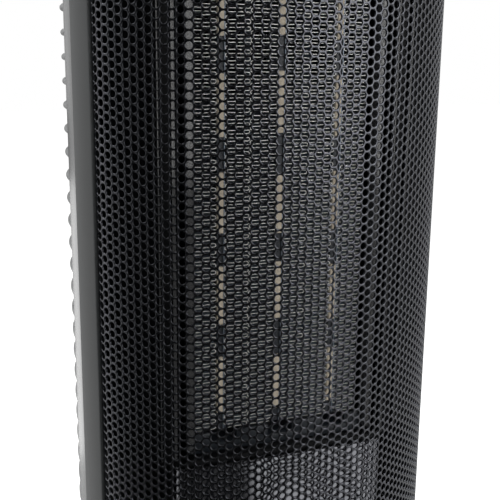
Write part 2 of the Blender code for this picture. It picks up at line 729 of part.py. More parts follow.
def make_control_board(tower):
    half_x, half_y = BOARD_HALF
    slab = box((-half_x, PANEL_Y - half_y, BOARD_LOW), (half_x, PANEL_Y + half_y, BOARD_TOP))
    board = add_piece("control_board", slab, "circuit", tower)
    parts = bmesh.new()
    inside = BOARD_TOP - BOARD_THICKNESS / 2
    for x, y in button_places():
        low = (x - SWITCH_HALF, y - SWITCH_HALF, inside)
        box(low, (x + SWITCH_HALF, y + SWITCH_HALF, SWITCH_TOP), parts)
    half_x, half_y = DISPLAY_HALF[0] - DISPLAY_CORNER, DISPLAY_HALF[1] - DISPLAY_CORNER
    middle = PANEL_Y + DISPLAY_Y
    low = (-half_x, middle - half_y, inside)
    box(low, (half_x, middle + half_y, PANEL_LOW - SEAT_GAP), parts)
    cut(board, "board_parts", parts, "UNION")


# Shelves that carry the heater and the blower
SHELF_FRONT_Y = -0.045
SHELF_FRONT_HALF = 0.050
SHELF_SIDE_Y = -0.020
MID_SHELF_LOW = MID_SHELF_TOP - SHELF_THICKNESS
FAN_PLACE = (-0.004, 0.020)
FAN_SHAFT_RADIUS = 0.003
BEARING_RADIUS = 0.008
BEARING_HOLE = BEARING_RADIUS + SEAT_GAP


def shelf_outline():
    """Fits the rear shell's inside and narrows towards the heater's front."""
    half_width = REAR_HALF_WIDTH - SHELL_WALL - SEAT_GAP
    depth = REAR_DEPTH - SHELL_WALL - SEAT_GAP
    rear = [rear_point(pi * i / REAR_STEPS, half_width, depth) for i in range(REAR_STEPS + 1)]
    inward = TRIM_THICKNESS + SEAT_GAP
    side_x = front_point(TRIM_END_ANGLE, inward)[0] - inward
    front = [
        (-side_x, 0.0), (-side_x, SHELF_SIDE_Y), (-SHELF_FRONT_HALF, SHELF_FRONT_Y),
        (SHELF_FRONT_HALF, SHELF_FRONT_Y), (side_x, SHELF_SIDE_Y), (side_x, 0.0),
    ]
    return rear + front


def make_shelf(tower, name, low, hole_radius):
    shelf = add_piece(name, prism(shelf_outline(), low, low + SHELF_THICKNESS), "black_satin", tower)
    top = low + SHELF_THICKNESS + CUT_OVERRUN
    hole = prism(circle(hole_radius, ROUND_STEPS, FAN_PLACE), low - CUT_OVERRUN, top)
    cut(shelf, name + "_hole", hole)


# Heater pack: fin columns pressed against ceramic strips, held at both ends
PACK_FRONT_Y = -0.037
PACK_DEPTH = 0.014
PACK_END_HEIGHT = 0.0103
PACK_LOW = MID_SHELF_TOP + PACK_END_HEIGHT
PACK_TOP = TOP_SHELF_LOW - PACK_END_HEIGHT
STRIP_SPACING = 0.0288
STRIP_WIDTH = 0.0026
CHIP_PITCH = 0.0445
CHIP_LENGTH = 0.0305
CHIP_END_GAP = 0.0067
CHIP_LOWEST = PACK_LOW + CHIP_END_GAP
CARRIER_RECESS = 0.0030
FIN_FOLDS = 6
FIN_SHEET = 0.0008
FIN_SIDE_GAP = 0.00015
FRAME_HALF_WIDTH = 0.0450
FRAME_LIP = 0.0020
FRAME_NOTCHES = 5
PACK_REAR_Y = PACK_FRONT_Y + PACK_DEPTH
STRIP_PLACES = [STRIP_SPACING * i for i in (-1, 0, 1)]
FIN_WIDTH = (STRIP_SPACING - STRIP_WIDTH) / 2 - SEAT_GAP - FIN_SIDE_GAP
CHIP_COUNT = int((PACK_TOP - CHIP_LOWEST) / CHIP_PITCH)


def make_heater_fins(tower):
    """One folded column on each side of each strip."""
    number = 1
    for place in STRIP_PLACES:
        for side in (-1, 1):
            inner = STRIP_WIDTH / 2 + SEAT_GAP
            left = place + (inner if side > 0 else -inner - FIN_WIDTH)
            bm = zigzag_column(left, FIN_WIDTH)
            add_piece("heater_fins_" + str(number), bm, "aluminium", tower)
            number += 1


def zigzag_column(left, width):
    """A folded sheet that zigzags up the column, extruded through the pack's depth."""
    fold = (PACK_TOP - PACK_LOW) / (FIN_FOLDS * 2)
    line = []
    for i in range(FIN_FOLDS * 2 + 1):
        x = left + (width - FIN_SHEET) * (i % 2)
        line.append((x, PACK_LOW + fold * i))
    outline = line + [(x + FIN_SHEET, z) for x, z in reversed(line)]
    rings = [[(x, y, z) for x, z in outline] for y in (PACK_FRONT_Y, PACK_REAR_Y)]
    return loft(bmesh.new(), rings)


def make_ceramic_strips(tower):
    """Chips stand proud of a thin carrier, in (y, z) outline."""
    face = PACK_FRONT_Y
    carrier = PACK_FRONT_Y + CARRIER_RECESS
    outline = [(PACK_REAR_Y, PACK_TOP), (PACK_REAR_Y, PACK_LOW), (carrier, PACK_LOW)]
    for i in range(CHIP_COUNT):
        low = CHIP_LOWEST + CHIP_PITCH * i
        high = low + CHIP_LENGTH
        outline += [(carrier, low), (face, low), (face, high), (carrier, high)]
    outline.append((carrier, PACK_TOP))
    for number, place in enumerate(STRIP_PLACES, 1):
        half = STRIP_WIDTH / 2
        bm = side_prism(outline, place - half, place + half)
        add_piece("ceramic_strip_" + str(number), bm, "ceramic", tower)


def make_heater_frames(tower):
    """Channels that hold the pack's ends, with notches in their front lip."""
    ends = {
        "heater_frame_bottom": (MID_SHELF_TOP + SEAT_GAP, PACK_LOW - SEAT_GAP),
        "heater_frame_top": (PACK_TOP + SEAT_GAP, TOP_SHELF_LOW - SEAT_GAP),
    }
    front = PACK_FRONT_Y - FRAME_LIP
    rear = PACK_REAR_Y + FRAME_LIP
    for name, (low, high) in ends.items():
        low_corner = (-FRAME_HALF_WIDTH, front, low)
        bm = box(low_corner, (FRAME_HALF_WIDTH, rear, high))
        frame = add_piece(name, bm, "black_satin", tower)
        notches = bmesh.new()
        pitch = 2 * FRAME_HALF_WIDTH / FRAME_NOTCHES
        for i in range(FRAME_NOTCHES):
            middle = -FRAME_HALF_WIDTH + pitch * (i + 0.5)
            quarter = pitch / 4
            rise = (high - low) / 4
            notch_low = (middle - quarter, front - CUT_OVERRUN, low + rise)
            box(notch_low, (middle + quarter, front + FRAME_LIP, high - rise), notches)
        cut(frame, name + "_notches", notches)


# Duct walls that flare from the heater towards the grille
DUCT_WALL = 0.0015
DUCT_INNER_X = 0.0465
DUCT_STEP_X = 0.0520
DUCT_FRONT_Y = -0.0410
DUCT_FLARE = (0.0600, -0.0470)
DUCT_OUTER = (0.0790, -0.0300)


def offset_line(points, distance):
    """A line beside an open line, on its left, with mitred corners."""
    result = []
    for i, point in enumerate(points):
        here = Vector(point)
        before = Vector(points[max(i - 1, 0)])
        after = Vector(points[min(i + 1, len(points) - 1)])
        a = (here - before).normalized() if i else (after - here).normalized()
        b = (after - here).normalized() if i < len(points) - 1 else a
        normal = Vector((-a.y - b.y, a.x + b.x)).normalized()
        spread = normal.dot(Vector((-a.y, a.x)))
        moved = here + normal * (distance / spread)
        result.append((moved.x, moved.y))
    return result


def wall_outline(line, thickness):
    return line + offset_line(line, thickness)[::-1]


def make_ducts(tower):
    low, high = MID_SHELF_TOP + SEAT_GAP, TOP_SHELF_LOW - SEAT_GAP
    line = [
        (DUCT_INNER_X, PACK_REAR_Y), (DUCT_INNER_X, DUCT_FRONT_Y),
        (DUCT_STEP_X, DUCT_FRONT_Y), DUCT_FLARE, DUCT_OUTER,
    ]
    for name, side in (("duct_left", -1), ("duct_right", 1)):
        placed = [(side * x, y) for x, y in line]
        bm = prism(wall_outline(placed, side * DUCT_WALL), low, high)
        add_piece(name, bm, "black_satin", tower)


# Cross-flow blower behind the heater
WHEEL_RADIUS = 0.030
WHEEL_INNER_SHARE = 0.72
WHEEL_OUTER_SHARE = 0.96
WHEEL_STEPS = 24
BLADE_COUNT = 14
BLADE_THICKNESS = 0.0011
BLADE_SWEEP = radians(26)
BLADE_BOW = 0.0016
DISC_THICKNESS = 0.0024
WHEEL_END_GAP = 0.004
SCROLL_WALL = 0.0020
SCROLL_CLEARANCE = 0.0035
SCROLL_GROWTH = 0.0105
SCROLL_START = radians(95)
SCROLL_END = radians(222)
SCROLL_STEPS = 8
TONGUE_ANGLE = radians(-33)
TONGUE_HOOK = (0.041, 0.010)
OUTLET_HALF_WIDTH = 0.0440
OUTLET_Y = PACK_REAR_Y + FRAME_LIP + SEAT_GAP
WHEEL_LOW = MID_SHELF_TOP + WHEEL_END_GAP
WHEEL_TOP = TOP_SHELF_LOW - WHEEL_END_GAP
FAN_MOTOR_RADIUS = 0.026
FAN_MOTOR_HEIGHT = 0.028
FAN_MOTOR_BOSS = 0.010
FAN_BOSS_HEIGHT = 0.003


def blade_outline(turn_angle):
    """A curved blade between the wheel's inner and outer radius, in plan."""
    inner = WHEEL_RADIUS * WHEEL_INNER_SHARE
    outer = WHEEL_RADIUS * WHEEL_OUTER_SHARE
    start = Vector((inner, 0.0))
    end = Vector((outer * cos(BLADE_SWEEP), outer * sin(BLADE_SWEEP)))
    along = (end - start).normalized()
    across = Vector((-along.y, along.x))
    middle = (start + end) / 2 - across * BLADE_BOW
    half = across * (BLADE_THICKNESS / 2)
    line = [start - half, middle - half, end - half, end + half, middle + half, start + half]
    spin = Matrix.Rotation(turn_angle, 2)
    return [tuple(spin @ p) for p in line]


def make_fan_wheel(spindle):
    """Curved blades let into three discs, on a shaft that runs right through."""
    half = DISC_THICKNESS / 2
    shaft_low = MID_SHELF_LOW + SEAT_GAP
    shaft_top = TOP_SHELF_TOP + FAN_MOTOR_HEIGHT / 2
    shaft = prism(circle(FAN_SHAFT_RADIUS, SMALL_ROUND_STEPS), shaft_low, shaft_top)
    wheel = add_piece("fan_wheel", shaft, "black_satin", spindle)
    discs = bmesh.new()
    for z in (WHEEL_LOW + half, (WHEEL_LOW + WHEEL_TOP) / 2, WHEEL_TOP - half):
        prism(circle(WHEEL_RADIUS, WHEEL_STEPS), z - half, z + half, discs)
    cut(wheel, "fan_discs", discs, "UNION")
    blades = bmesh.new()
    for i in range(BLADE_COUNT):
        outline = blade_outline(tau * i / BLADE_COUNT)
        prism(outline, WHEEL_LOW + half, WHEEL_TOP - half, blades)
    cut(wheel, "fan_blades", blades, "UNION")


def make_blower_scroll(tower):
    low, high = MID_SHELF_TOP + SEAT_GAP, TOP_SHELF_LOW - SEAT_GAP
    line = []
    for i in range(SCROLL_STEPS + 1):
        share = i / SCROLL_STEPS
        a = SCROLL_START + (SCROLL_END - SCROLL_START) * share
        r = WHEEL_RADIUS + SCROLL_CLEARANCE + SCROLL_GROWTH * share
        line.append((FAN_PLACE[0] + r * cos(a), FAN_PLACE[1] + r * sin(a)))
    line.append((-OUTLET_HALF_WIDTH, OUTLET_Y + SCROLL_WALL))
    bm = prism(wall_outline(line, -SCROLL_WALL), low, high)
    add_piece("blower_scroll", bm, "black_satin", tower)


def make_blower_tongue(tower):
    low, high = MID_SHELF_TOP + SEAT_GAP, TOP_SHELF_LOW - SEAT_GAP
    r = WHEEL_RADIUS + SCROLL_CLEARANCE
    tip = (FAN_PLACE[0] + r * cos(TONGUE_ANGLE), FAN_PLACE[1] + r * sin(TONGUE_ANGLE))
    line = [(OUTLET_HALF_WIDTH, OUTLET_Y + SCROLL_WALL), tip, TONGUE_HOOK]
    bm = prism(wall_outline(line, SCROLL_WALL), low, high)
    add_piece("blower_tongue", bm, "black_satin", tower)


def make_fan_bearing(tower):
    bore = FAN_SHAFT_RADIUS + SEAT_GAP
    profile = [
        (bore, MID_SHELF_LOW), (BEARING_RADIUS, MID_SHELF_LOW),
        (BEARING_RADIUS, MID_SHELF_TOP), (bore, MID_SHELF_TOP),
    ]
    add_piece("fan_bearing", turn(profile, SMALL_ROUND_STEPS), "steel", tower, (*FAN_PLACE, 0.0))


def make_fan_motor(tower):
    """A round motor on the top shelf, with its boss let into the shelf's hole."""
    bore = FAN_SHAFT_RADIUS + SEAT_GAP
    low = TOP_SHELF_TOP + SEAT_GAP
    top = low + FAN_MOTOR_HEIGHT
    cap = FAN_MOTOR_RADIUS - FAN_BOSS_HEIGHT
    profile = [
        (bore, low), (FAN_MOTOR_RADIUS, low), (FAN_MOTOR_RADIUS, top - FAN_BOSS_HEIGHT),
        (cap, top), (bore, top),
    ]
    add_piece("fan_motor", turn(profile), "steel", tower, (*FAN_PLACE, 0.0))


# Intake filter, a curved pad inside the rear shell
FILTER_THICKNESS = 0.003
FILTER_STEPS = 3


def make_intake_filter(tower):
    """Follows the middle facets of the shell's inner face."""
    first = (REAR_STEPS - FILTER_STEPS) // 2
    angles = [pi * i / REAR_STEPS for i in range(first, first + FILTER_STEPS + 1)]
    gap = SHELL_WALL + SEAT_GAP
    outer, inner = (
        [rear_point(a, REAR_HALF_WIDTH - inset, REAR_DEPTH - inset) for a in angles]
        for inset in (gap, gap + FILTER_THICKNESS)
    )
    low, high = MID_SHELF_TOP + SEAT_GAP, TOP_SHELF_LOW - SEAT_GAP
    add_piece("intake_filter", prism(outer + inner[::-1], low, high), "filter", tower)


# Flame unit below the heater: screen, mask, spindle, lamps and housing
SCREEN_WALL = 0.002
SCREEN_TOP_HALF = 0.050
SCREEN_TOP_Y = -0.0455
SCREEN_SHOULDER = 0.222
SCREEN_LOW = 0.060
SCREEN_GRILLE_GAP = 0.0060
SCREEN_ANGLE = radians(46)
SCREEN_STEPS = 10
SCREEN_LEVELS = 4
HOUSING_HALF_WIDTH = 0.056
HOUSING_FRONT_Y = -0.040
HOUSING_REAR_Y = 0.030
HOUSING_WALL = 0.002
SPINDLE_PLACE = (-0.006, 0.088)
SPINDLE_RADIUS = 0.0025
SPINDLE_FLAGS = 6
FLAG_REACH = 0.014
FLAG_THICKNESS = 0.0008
FLAG_LENGTH_SHARE = 0.66
FLAG_TWIST = radians(50)
FLAME_MOTOR_RADIUS = 0.014
FLAME_MOTOR_LENGTH = 0.014
MASK_Y = -0.034
MASK_THICKNESS = 0.0012
MASK_MARGIN = 0.012
LAMP_BOARD_HALF = (0.046, 0.010)
LAMP_BOARD_THICKNESS = 0.0016
LAMP_BUMP = 0.003
LAMP_COUNT = 4
HOUSING_LOW = FLOOR_TOP + SEAT_GAP
HOUSING_TOP = MID_SHELF_LOW - SEAT_GAP


def screen_ring(share):
    """The screen's line at a share of its fall: flat at the top, curved below."""
    bulge = sin(share * pi / 2)
    points = []
    for i in range(SCREEN_STEPS + 1):
        across = 2 * i / SCREEN_STEPS - 1
        low_x, low_y = front_point(SCREEN_ANGLE * across, SCREEN_GRILLE_GAP)
        top_x, top_y = SCREEN_TOP_HALF * across, SCREEN_TOP_Y
        x = top_x + (low_x - top_x) * bulge
        y = top_y + (low_y - top_y) * bulge
        points.append((x, y))
    return points


def make_flame_screen(tower):
    """A smoked panel that slopes out from the shelf and then runs down the front."""
    top = MID_SHELF_LOW - SEAT_GAP
    rows = []
    for i in range(SCREEN_LEVELS):
        share = i / (SCREEN_LEVELS - 1)
        fall = 1 - cos(share * pi / 2)
        rows.append((top - (top - SCREEN_SHOULDER) * fall, share))
    rows.append((SCREEN_LOW, 1.0))
    bm = bmesh.new()
    grid = [[bm.verts.new((x, y, z)) for x, y in screen_ring(share)] for z, share in rows]
    for high, low in zip(grid, grid[1:]):
        for i in range(SCREEN_STEPS):
            bm.faces.new((low[i], low[i + 1], high[i + 1], high[i]))
    screen = add_piece("flame_screen", bm, "smoked", tower)
    thicken = screen.modifiers.new("wall", "SOLIDIFY")
    thicken.thickness = SCREEN_WALL
    thicken.offset = -1.0


def make_flame_housing(tower):
    """A box open to the front, with a hole for the spindle in each side."""
    w, wall = HOUSING_HALF_WIDTH, HOUSING_WALL
    outer = (-w, HOUSING_FRONT_Y, HOUSING_LOW), (w, HOUSING_REAR_Y, HOUSING_TOP)
    housing = add_piece("flame_housing", box(*outer), "black_satin", tower)
    inner_low = (-w + wall, HOUSING_FRONT_Y - CUT_OVERRUN, HOUSING_LOW + wall)
    inner_high = (w - wall, HOUSING_REAR_Y - wall, HOUSING_TOP - wall)
    cut(housing, "housing_hollow", box(inner_low, inner_high))
    reach = w + CUT_OVERRUN
    hole = SPINDLE_RADIUS + SEAT_GAP
    profile = [(0.0, -reach), (hole, -reach), (hole, reach), (0.0, reach)]
    axle = turn(profile, SMALL_ROUND_STEPS, "X")
    cut(housing, "spindle_holes", move(axle, y=SPINDLE_PLACE[0], z=SPINDLE_PLACE[1]))


def make_flame_spindle(spindle):
    """A shaft with bright flags set round it in a twist."""
    inner = HOUSING_HALF_WIDTH - HOUSING_WALL - RUNNING_GAP
    left = -HOUSING_HALF_WIDTH
    right = HOUSING_HALF_WIDTH + FLAME_MOTOR_LENGTH / 2
    shaft = [(0.0, left), (SPINDLE_RADIUS, left), (SPINDLE_RADIUS, right), (0.0, right)]
    bm = turn(shaft, SMALL_ROUND_STEPS, "X")
    obj = add_piece("flame_spindle", bm, "mirror", spindle)
    flags = bmesh.new()
    span = 2 * (inner - MASK_MARGIN)
    pitch = span / SPINDLE_FLAGS
    half_long = pitch * FLAG_LENGTH_SHARE / 2
    half = FLAG_THICKNESS / 2
    for i in range(SPINDLE_FLAGS):
        middle = -span / 2 + pitch * (i + 0.5)
        twist = Matrix.Rotation(FLAG_TWIST * i, 2)
        corners = ((-half, -FLAG_REACH), (half, -FLAG_REACH), (half, FLAG_REACH), (-half, FLAG_REACH))
        outline = [tuple(twist @ Vector(corner)) for corner in corners]
        side_prism(outline, middle - half_long, middle + half_long, flags)
    cut(obj, "spindle_flags", flags, "UNION")


def make_flame_motor(tower):
    start = HOUSING_HALF_WIDTH + SEAT_GAP
    end = start + FLAME_MOTOR_LENGTH
    bore = SPINDLE_RADIUS + SEAT_GAP
    profile = [(bore, start), (FLAME_MOTOR_RADIUS, start), (FLAME_MOTOR_RADIUS, end), (bore, end)]
    place = (0.0, SPINDLE_PLACE[0], SPINDLE_PLACE[1])
    add_piece("flame_motor", turn(profile, ROUND_STEPS, "X"), "steel", tower, place)


def flame_outline(middle, width, low, height):
    """A generic tongue of flame: two leaning curves that meet at a tip."""
    left_shares = ((-0.30, 0.0), (-0.50, 0.18), (-0.42, 0.42), (-0.16, 0.70))
    tip_share = (0.06, 1.0)
    right_shares = ((0.20, 0.66), (0.46, 0.40), (0.50, 0.18), (0.30, 0.0))
    shares = [*left_shares, tip_share, *right_shares]
    return [(middle + width * a, low + height * b) for a, b in reversed(shares)]


def make_flame_mask(tower):
    """A plate behind the screen with tongues cut through it."""
    inner = HOUSING_HALF_WIDTH - HOUSING_WALL - SEAT_GAP
    low = HOUSING_LOW + HOUSING_WALL + SEAT_GAP
    top = HOUSING_TOP - HOUSING_WALL - SEAT_GAP
    plate = box((-inner, MASK_Y, low), (inner, MASK_Y + MASK_THICKNESS, top))
    mask = add_piece("flame_mask", plate, "black_satin", tower)
    start = low + MASK_MARGIN
    room = top - start - MASK_MARGIN
    tongue_shares = ((-0.62, 0.52, 0.70), (0.0, 0.60, 1.0), (0.62, 0.52, 0.78))
    tongues = bmesh.new()
    near, far = MASK_Y - CUT_OVERRUN, MASK_Y + MASK_THICKNESS + CUT_OVERRUN
    for middle_share, width_share, height_share in tongue_shares:
        middle, width = inner * middle_share, inner * width_share
        outline = flame_outline(middle, width, start, room * height_share)
        loft(tongues, [[(x, y, z) for x, z in outline] for y in (near, far)])
    cut(mask, "flame_tongues", tongues)


def make_lamp_board(tower):
    low = HOUSING_LOW + HOUSING_WALL + SEAT_GAP
    top = low + LAMP_BOARD_THICKNESS
    half_x, half_y = LAMP_BOARD_HALF
    middle_y = SPINDLE_PLACE[0]
    slab = box((-half_x, middle_y - half_y, low), (half_x, middle_y + half_y, top))
    board = add_piece("lamp_board", slab, "circuit", tower)
    lamps = bmesh.new()
    pitch = 2 * half_x / LAMP_COUNT
    for i in range(LAMP_COUNT):
        x = -half_x + pitch * (i + 0.5)
        corner = (x - LAMP_BUMP, middle_y - LAMP_BUMP, top - LAMP_BOARD_THICKNESS / 2)
        box(corner, (x + LAMP_BUMP, middle_y + LAMP_BUMP, top + LAMP_BUMP), lamps)
    cut(board, "lamps", lamps, "UNION")


# Power board, standing on the tower's floor behind the flame unit
POWER_BOARD_HALF = 0.040
POWER_BOARD_Y = 0.046
POWER_BOARD_HEIGHT = 0.150
POWER_PARTS_DEPTH = 0.018

# Left, right, low and high edges of each tall part, in shares of the board's half size
POWER_PART_SHARES = ((-0.75, -0.25, -0.50, 0.0), (0.17, 0.65, -0.25, 0.50))


def make_power_board(tower):
    low = FLOOR_TOP + SEAT_GAP
    high = low + POWER_BOARD_HEIGHT
    near = POWER_BOARD_Y
    far = near + BOARD_THICKNESS
    slab = box((-POWER_BOARD_HALF, near, low), (POWER_BOARD_HALF, far, high))
    board = add_piece("power_board", slab, "circuit", tower)
    middle = (low + high) / 2
    half_height = POWER_BOARD_HEIGHT / 2
    deep = far + POWER_PARTS_DEPTH
    parts = bmesh.new()
    inside = far - BOARD_THICKNESS / 2
    for left, right, bottom, top in POWER_PART_SHARES:
        near_corner = (POWER_BOARD_HALF * left, inside, middle + half_height * bottom)
        box(near_corner, (POWER_BOARD_HALF * right, deep, middle + half_height * top), parts)
    cut(board, "power_parts", parts, "UNION")


# Thermal cut-out on the shelf behind the heater
CUTOUT_SIZE = (0.012, 0.006, 0.009)
CUTOUT_X = 0.026


def make_thermal_cutout(tower):
    low = MID_SHELF_TOP + SEAT_GAP
    near = PACK_REAR_Y + FRAME_LIP + SEAT_GAP
    half = CUTOUT_SIZE[0] / 2
    corner = (CUTOUT_X - half, near, low)
    bm = box(corner, (CUTOUT_X + half, near + CUTOUT_SIZE[1], low + CUTOUT_SIZE[2]))
    add_piece("thermal_cutout", bm, "white_nylon", tower)


def build():
    clear_scene()
    tower = add_empty("tower_pivot")
    pinion_pivot = add_empty("pinion_pivot", (0.0, PINION_Y, 0.0))
    fan_spindle = add_empty("fan_spindle", (*FAN_PLACE, 0.0))
    flame_axis = add_empty("flame_axis", (0.0, *SPINDLE_PLACE))
    fan_spindle.parent = tower
    flame_axis.parent = tower
    make_feet()
    make_base_plate()
    make_base_cover()
    make_cord_gland()
    make_tip_switch()
    make_tip_plunger()
    make_swing_motor()
    make_swing_pinion(pinion_pivot)
    make_thrust_washer()
    for make in (
        make_sector_gear, make_tower_hub, make_tower_floor, make_rear_shell,
        make_front_grille, make_trims, make_top_cap, make_control_panel,
        make_display_window, make_buttons, make_control_board, make_heater_fins,
        make_ceramic_strips, make_heater_frames, make_ducts, make_blower_scroll,
        make_blower_tongue, make_fan_bearing, make_fan_motor, make_intake_filter,
        make_flame_screen, make_flame_housing, make_flame_motor, make_flame_mask,
        make_lamp_board, make_power_board, make_thermal_cutout,
    ):
        make(tower)
    make_shelf(tower, "mid_shelf", MID_SHELF_LOW, BEARING_HOLE)
    make_shelf(tower, "top_shelf", TOP_SHELF_LOW, FAN_MOTOR_BOSS)
    make_fan_wheel(fan_spindle)
    make_flame_spindle(flame_axis)


build()
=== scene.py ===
from bisect import bisect_right
from math import atan2, cos, hypot, pi, radians, sin, tau

import bmesh
import bpy
from mathutils import Matrix, Vector, noise


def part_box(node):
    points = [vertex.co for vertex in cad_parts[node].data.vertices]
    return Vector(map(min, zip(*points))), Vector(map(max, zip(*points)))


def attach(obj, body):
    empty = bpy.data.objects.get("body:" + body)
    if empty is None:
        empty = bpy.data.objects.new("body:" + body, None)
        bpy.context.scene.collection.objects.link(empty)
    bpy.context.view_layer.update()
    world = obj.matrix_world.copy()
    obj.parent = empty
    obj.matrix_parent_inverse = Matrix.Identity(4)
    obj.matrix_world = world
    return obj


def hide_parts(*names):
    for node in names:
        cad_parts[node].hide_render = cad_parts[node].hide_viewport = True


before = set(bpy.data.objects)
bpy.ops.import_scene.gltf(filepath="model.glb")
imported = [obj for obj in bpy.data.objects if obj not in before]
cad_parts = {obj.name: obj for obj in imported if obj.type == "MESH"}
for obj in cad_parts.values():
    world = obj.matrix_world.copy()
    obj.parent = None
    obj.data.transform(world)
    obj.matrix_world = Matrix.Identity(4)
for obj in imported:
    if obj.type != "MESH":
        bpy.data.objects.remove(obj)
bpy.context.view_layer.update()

# A tower fan heater seen close to, through its perforated front
print("stage: frame loaded,", len(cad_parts), "nodes")

mm = 0.001
close = 0.01 * mm
same = 0.001 * mm
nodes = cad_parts


def low(node):
    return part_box(node)[0]


def high(node):
    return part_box(node)[1]


def heights(node):
    return [corner.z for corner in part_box(node)]


def middle(a, b):
    return (a.x + b.x) / 2, (a.y + b.y) / 2


# Sizes read from the frame
halfWidth = high("top_cap").x
frontDepth = -low("top_cap").y
rearDepth = high("top_cap").y
capLow, capTop = heights("top_cap")
floorLow, floorTop = heights("tower_floor")
sheetLow, sheetTop = heights("front_grille")
packLow, packTop = heights("heater_fins_1")
packFront = low("heater_fins_1").y
packRear = high("heater_fins_1").y
midShelfTop = high("mid_shelf").z
topShelfLow = low("top_shelf").z
stripPlaces = [(low(n).x + high(n).x) / 2 for n in ("ceramic_strip_1", "ceramic_strip_2", "ceramic_strip_3")]


# Shader nodes written as Python expressions
class Wire:
    def __init__(self, graph, socket):
        self.graph = graph
        self.socket = socket

    def maths(self, operation, *others):
        return self.graph.node("ShaderNodeMath", {"operation": operation}, [self, *others])

    def __add__(self, other):
        return self.maths("ADD", other)

    def __radd__(self, other):
        return self.maths("ADD", other)

    def __sub__(self, other):
        return self.maths("SUBTRACT", other)

    def __rsub__(self, other):
        return self.graph.node("ShaderNodeMath", {"operation": "SUBTRACT"}, [other, self])

    def __mul__(self, other):
        return self.maths("MULTIPLY", other)

    def __rmul__(self, other):
        return self.maths("MULTIPLY", other)

    def above(self, edge):
        return self.maths("GREATER_THAN", edge)

    def wave(self):
        return self.maths("SINE")

    def clamped(self):
        return self.graph.node("ShaderNodeClamp", {}, [self])


class Graph:
    def __init__(self, tree):
        self.tree = tree

    def node(self, kind, settings=None, inputs=None, output=0):
        item = self.tree.nodes.new(kind)
        for key, value in (settings or {}).items():
            setattr(item, key, value)
        inputs = inputs or {}
        pairs = inputs.items() if isinstance(inputs, dict) else enumerate(inputs)
        for key, value in pairs:
            self.feed(item.inputs[key], value)
        return Wire(self, item.outputs[output])

    def feed(self, socket, value):
        if isinstance(value, Wire):
            self.tree.links.new(value.socket, socket)
        elif isinstance(value, tuple) and len(value) == 3 and socket.type == "RGBA":
            socket.default_value = (*value, 1.0)
        else:
            socket.default_value = value

    def coords(self, stretch=None):
        place = self.node("ShaderNodeTexCoord", {}, {}, "Object")
        return self.node("ShaderNodeMapping", {}, {"Vector": place, "Scale": stretch}) if stretch else place

    def axes(self, where):
        split = self.tree.nodes.new("ShaderNodeSeparateXYZ")
        self.feed(split.inputs[0], where)
        return [Wire(self, socket) for socket in split.outputs]

    def noise(self, size, detail=2.0, roughness=0.5, where=None):
        where = where or self.coords()
        inputs = {"Vector": where, "Scale": 1 / size, "Detail": detail, "Roughness": roughness}
        return self.node("ShaderNodeTexNoise", {}, inputs)

    def cells(self, size):
        return self.node("ShaderNodeTexVoronoi", {}, {"Vector": self.coords(), "Scale": 1 / size}, "Distance")

    def mix(self, factor, a, b):
        return self.node("ShaderNodeMix", {"data_type": "RGBA"}, {0: factor, 6: a, 7: b}, 2)

    def bump(self, height, depth, strength=1.0):
        return self.node("ShaderNodeBump", {}, {"Strength": strength, "Distance": depth, "Height": height})


class Finish(Graph):
    # one Principled material, with plain values set on its own sockets
    def __init__(self, name, **plain):
        self.material = bpy.data.materials.new(name)
        self.material.use_nodes = True
        super().__init__(self.material.node_tree)
        self.shader = self.tree.nodes["Principled BSDF"]
        for key, value in plain.items():
            self.put(key.replace("_", " "), value)

    def put(self, socket, value):
        self.feed(self.shader.inputs[socket], value)


def tint(colour, share):
    return tuple(max(0.0, min(1.0, c * share)) for c in colour)


def moulded(name, colour, gloss, grain=0.35 * mm, grainDepth=0.012 * mm, streak=0.10, dust=0.25, **plain):
    # moulded or painted surface: tone drift, fine grain, faint handling marks and dust specks
    g = Finish(name, **plain)
    drift = g.noise(38 * mm, 3, 0.55)
    marks = g.noise(5 * mm, 4, 0.65, g.coords((1.0, 1.0, 0.25)))
    specks = (g.cells(2.6 * mm) * -14 + 1.0).clamped() * g.noise(9 * mm).above(0.57)
    tone = g.mix(drift, tint(colour, 1 - streak), tint(colour, 1 + streak))
    tone = g.mix(specks * dust, tone, tint(colour, 1.8))
    g.put("Base Color", tone)
    g.put("Roughness", (gloss * 0.86 + marks * (gloss * 0.28) + specks * 0.08).clamped())
    height = g.noise(grain, 2, 0.6) + g.noise(grain * 5, 2) * 0.4
    g.put("Normal", g.bump(height, grainDepth))
    return g.material


def metal(name, colour, gloss, along, stain=(0.35, 0.33, 0.30)):
    # bare metal: drawn lines, dull patches and a slight stain
    g = Finish(name, Metallic=1.0)
    lines = g.noise(0.5 * mm, 3, 0.6, g.coords(along))
    patches = g.noise(7 * mm, 4, 0.6)
    tone = g.mix(patches, tint(colour, 0.82), tint(colour, 1.08))
    tone = g.mix((g.noise(16 * mm, 3) - 0.55).clamped() * 1.6, tone, stain)
    g.put("Base Color", tone)
    g.put("Roughness", (gloss * 0.7 + lines * (gloss * 0.5) + patches * 0.08).clamped())
    g.put("Normal", g.bump(lines, 0.01 * mm, 0.7))
    return g.material


def finSheet():
    # thin aluminium: dull mirror faces, with the front edges painted pale and less metallic as a painted
    # highlight
    g = Finish("fin_aluminium_sheet", Metallic=1.0)
    x, y, z = g.axes(g.coords())
    # painted highlight: the front 0.22 mm of each sheet gets a near-white, less metallic colour that stands
    # in for light caught on rounded edges
    edgeHighlight = (y * -1.0 + (packFront + 0.22 * mm)).above(0.0)
    lines = g.noise(0.5 * mm, 3, 0.6, g.coords((0.15, 1.0, 1.0)))
    patches = g.noise(7 * mm, 4, 0.6)
    face = g.mix(patches, (0.34, 0.39, 0.47), (0.48, 0.54, 0.63))
    g.put("Base Color", g.mix(edgeHighlight, face, (0.96, 0.94, 0.91)))
    g.put("Roughness", (0.30 + lines * 0.12).clamped())
    g.put("Metallic", 0.80 - edgeHighlight * 0.50)
    g.put("Normal", g.bump(lines, 0.01 * mm, 0.7))
    return g.material


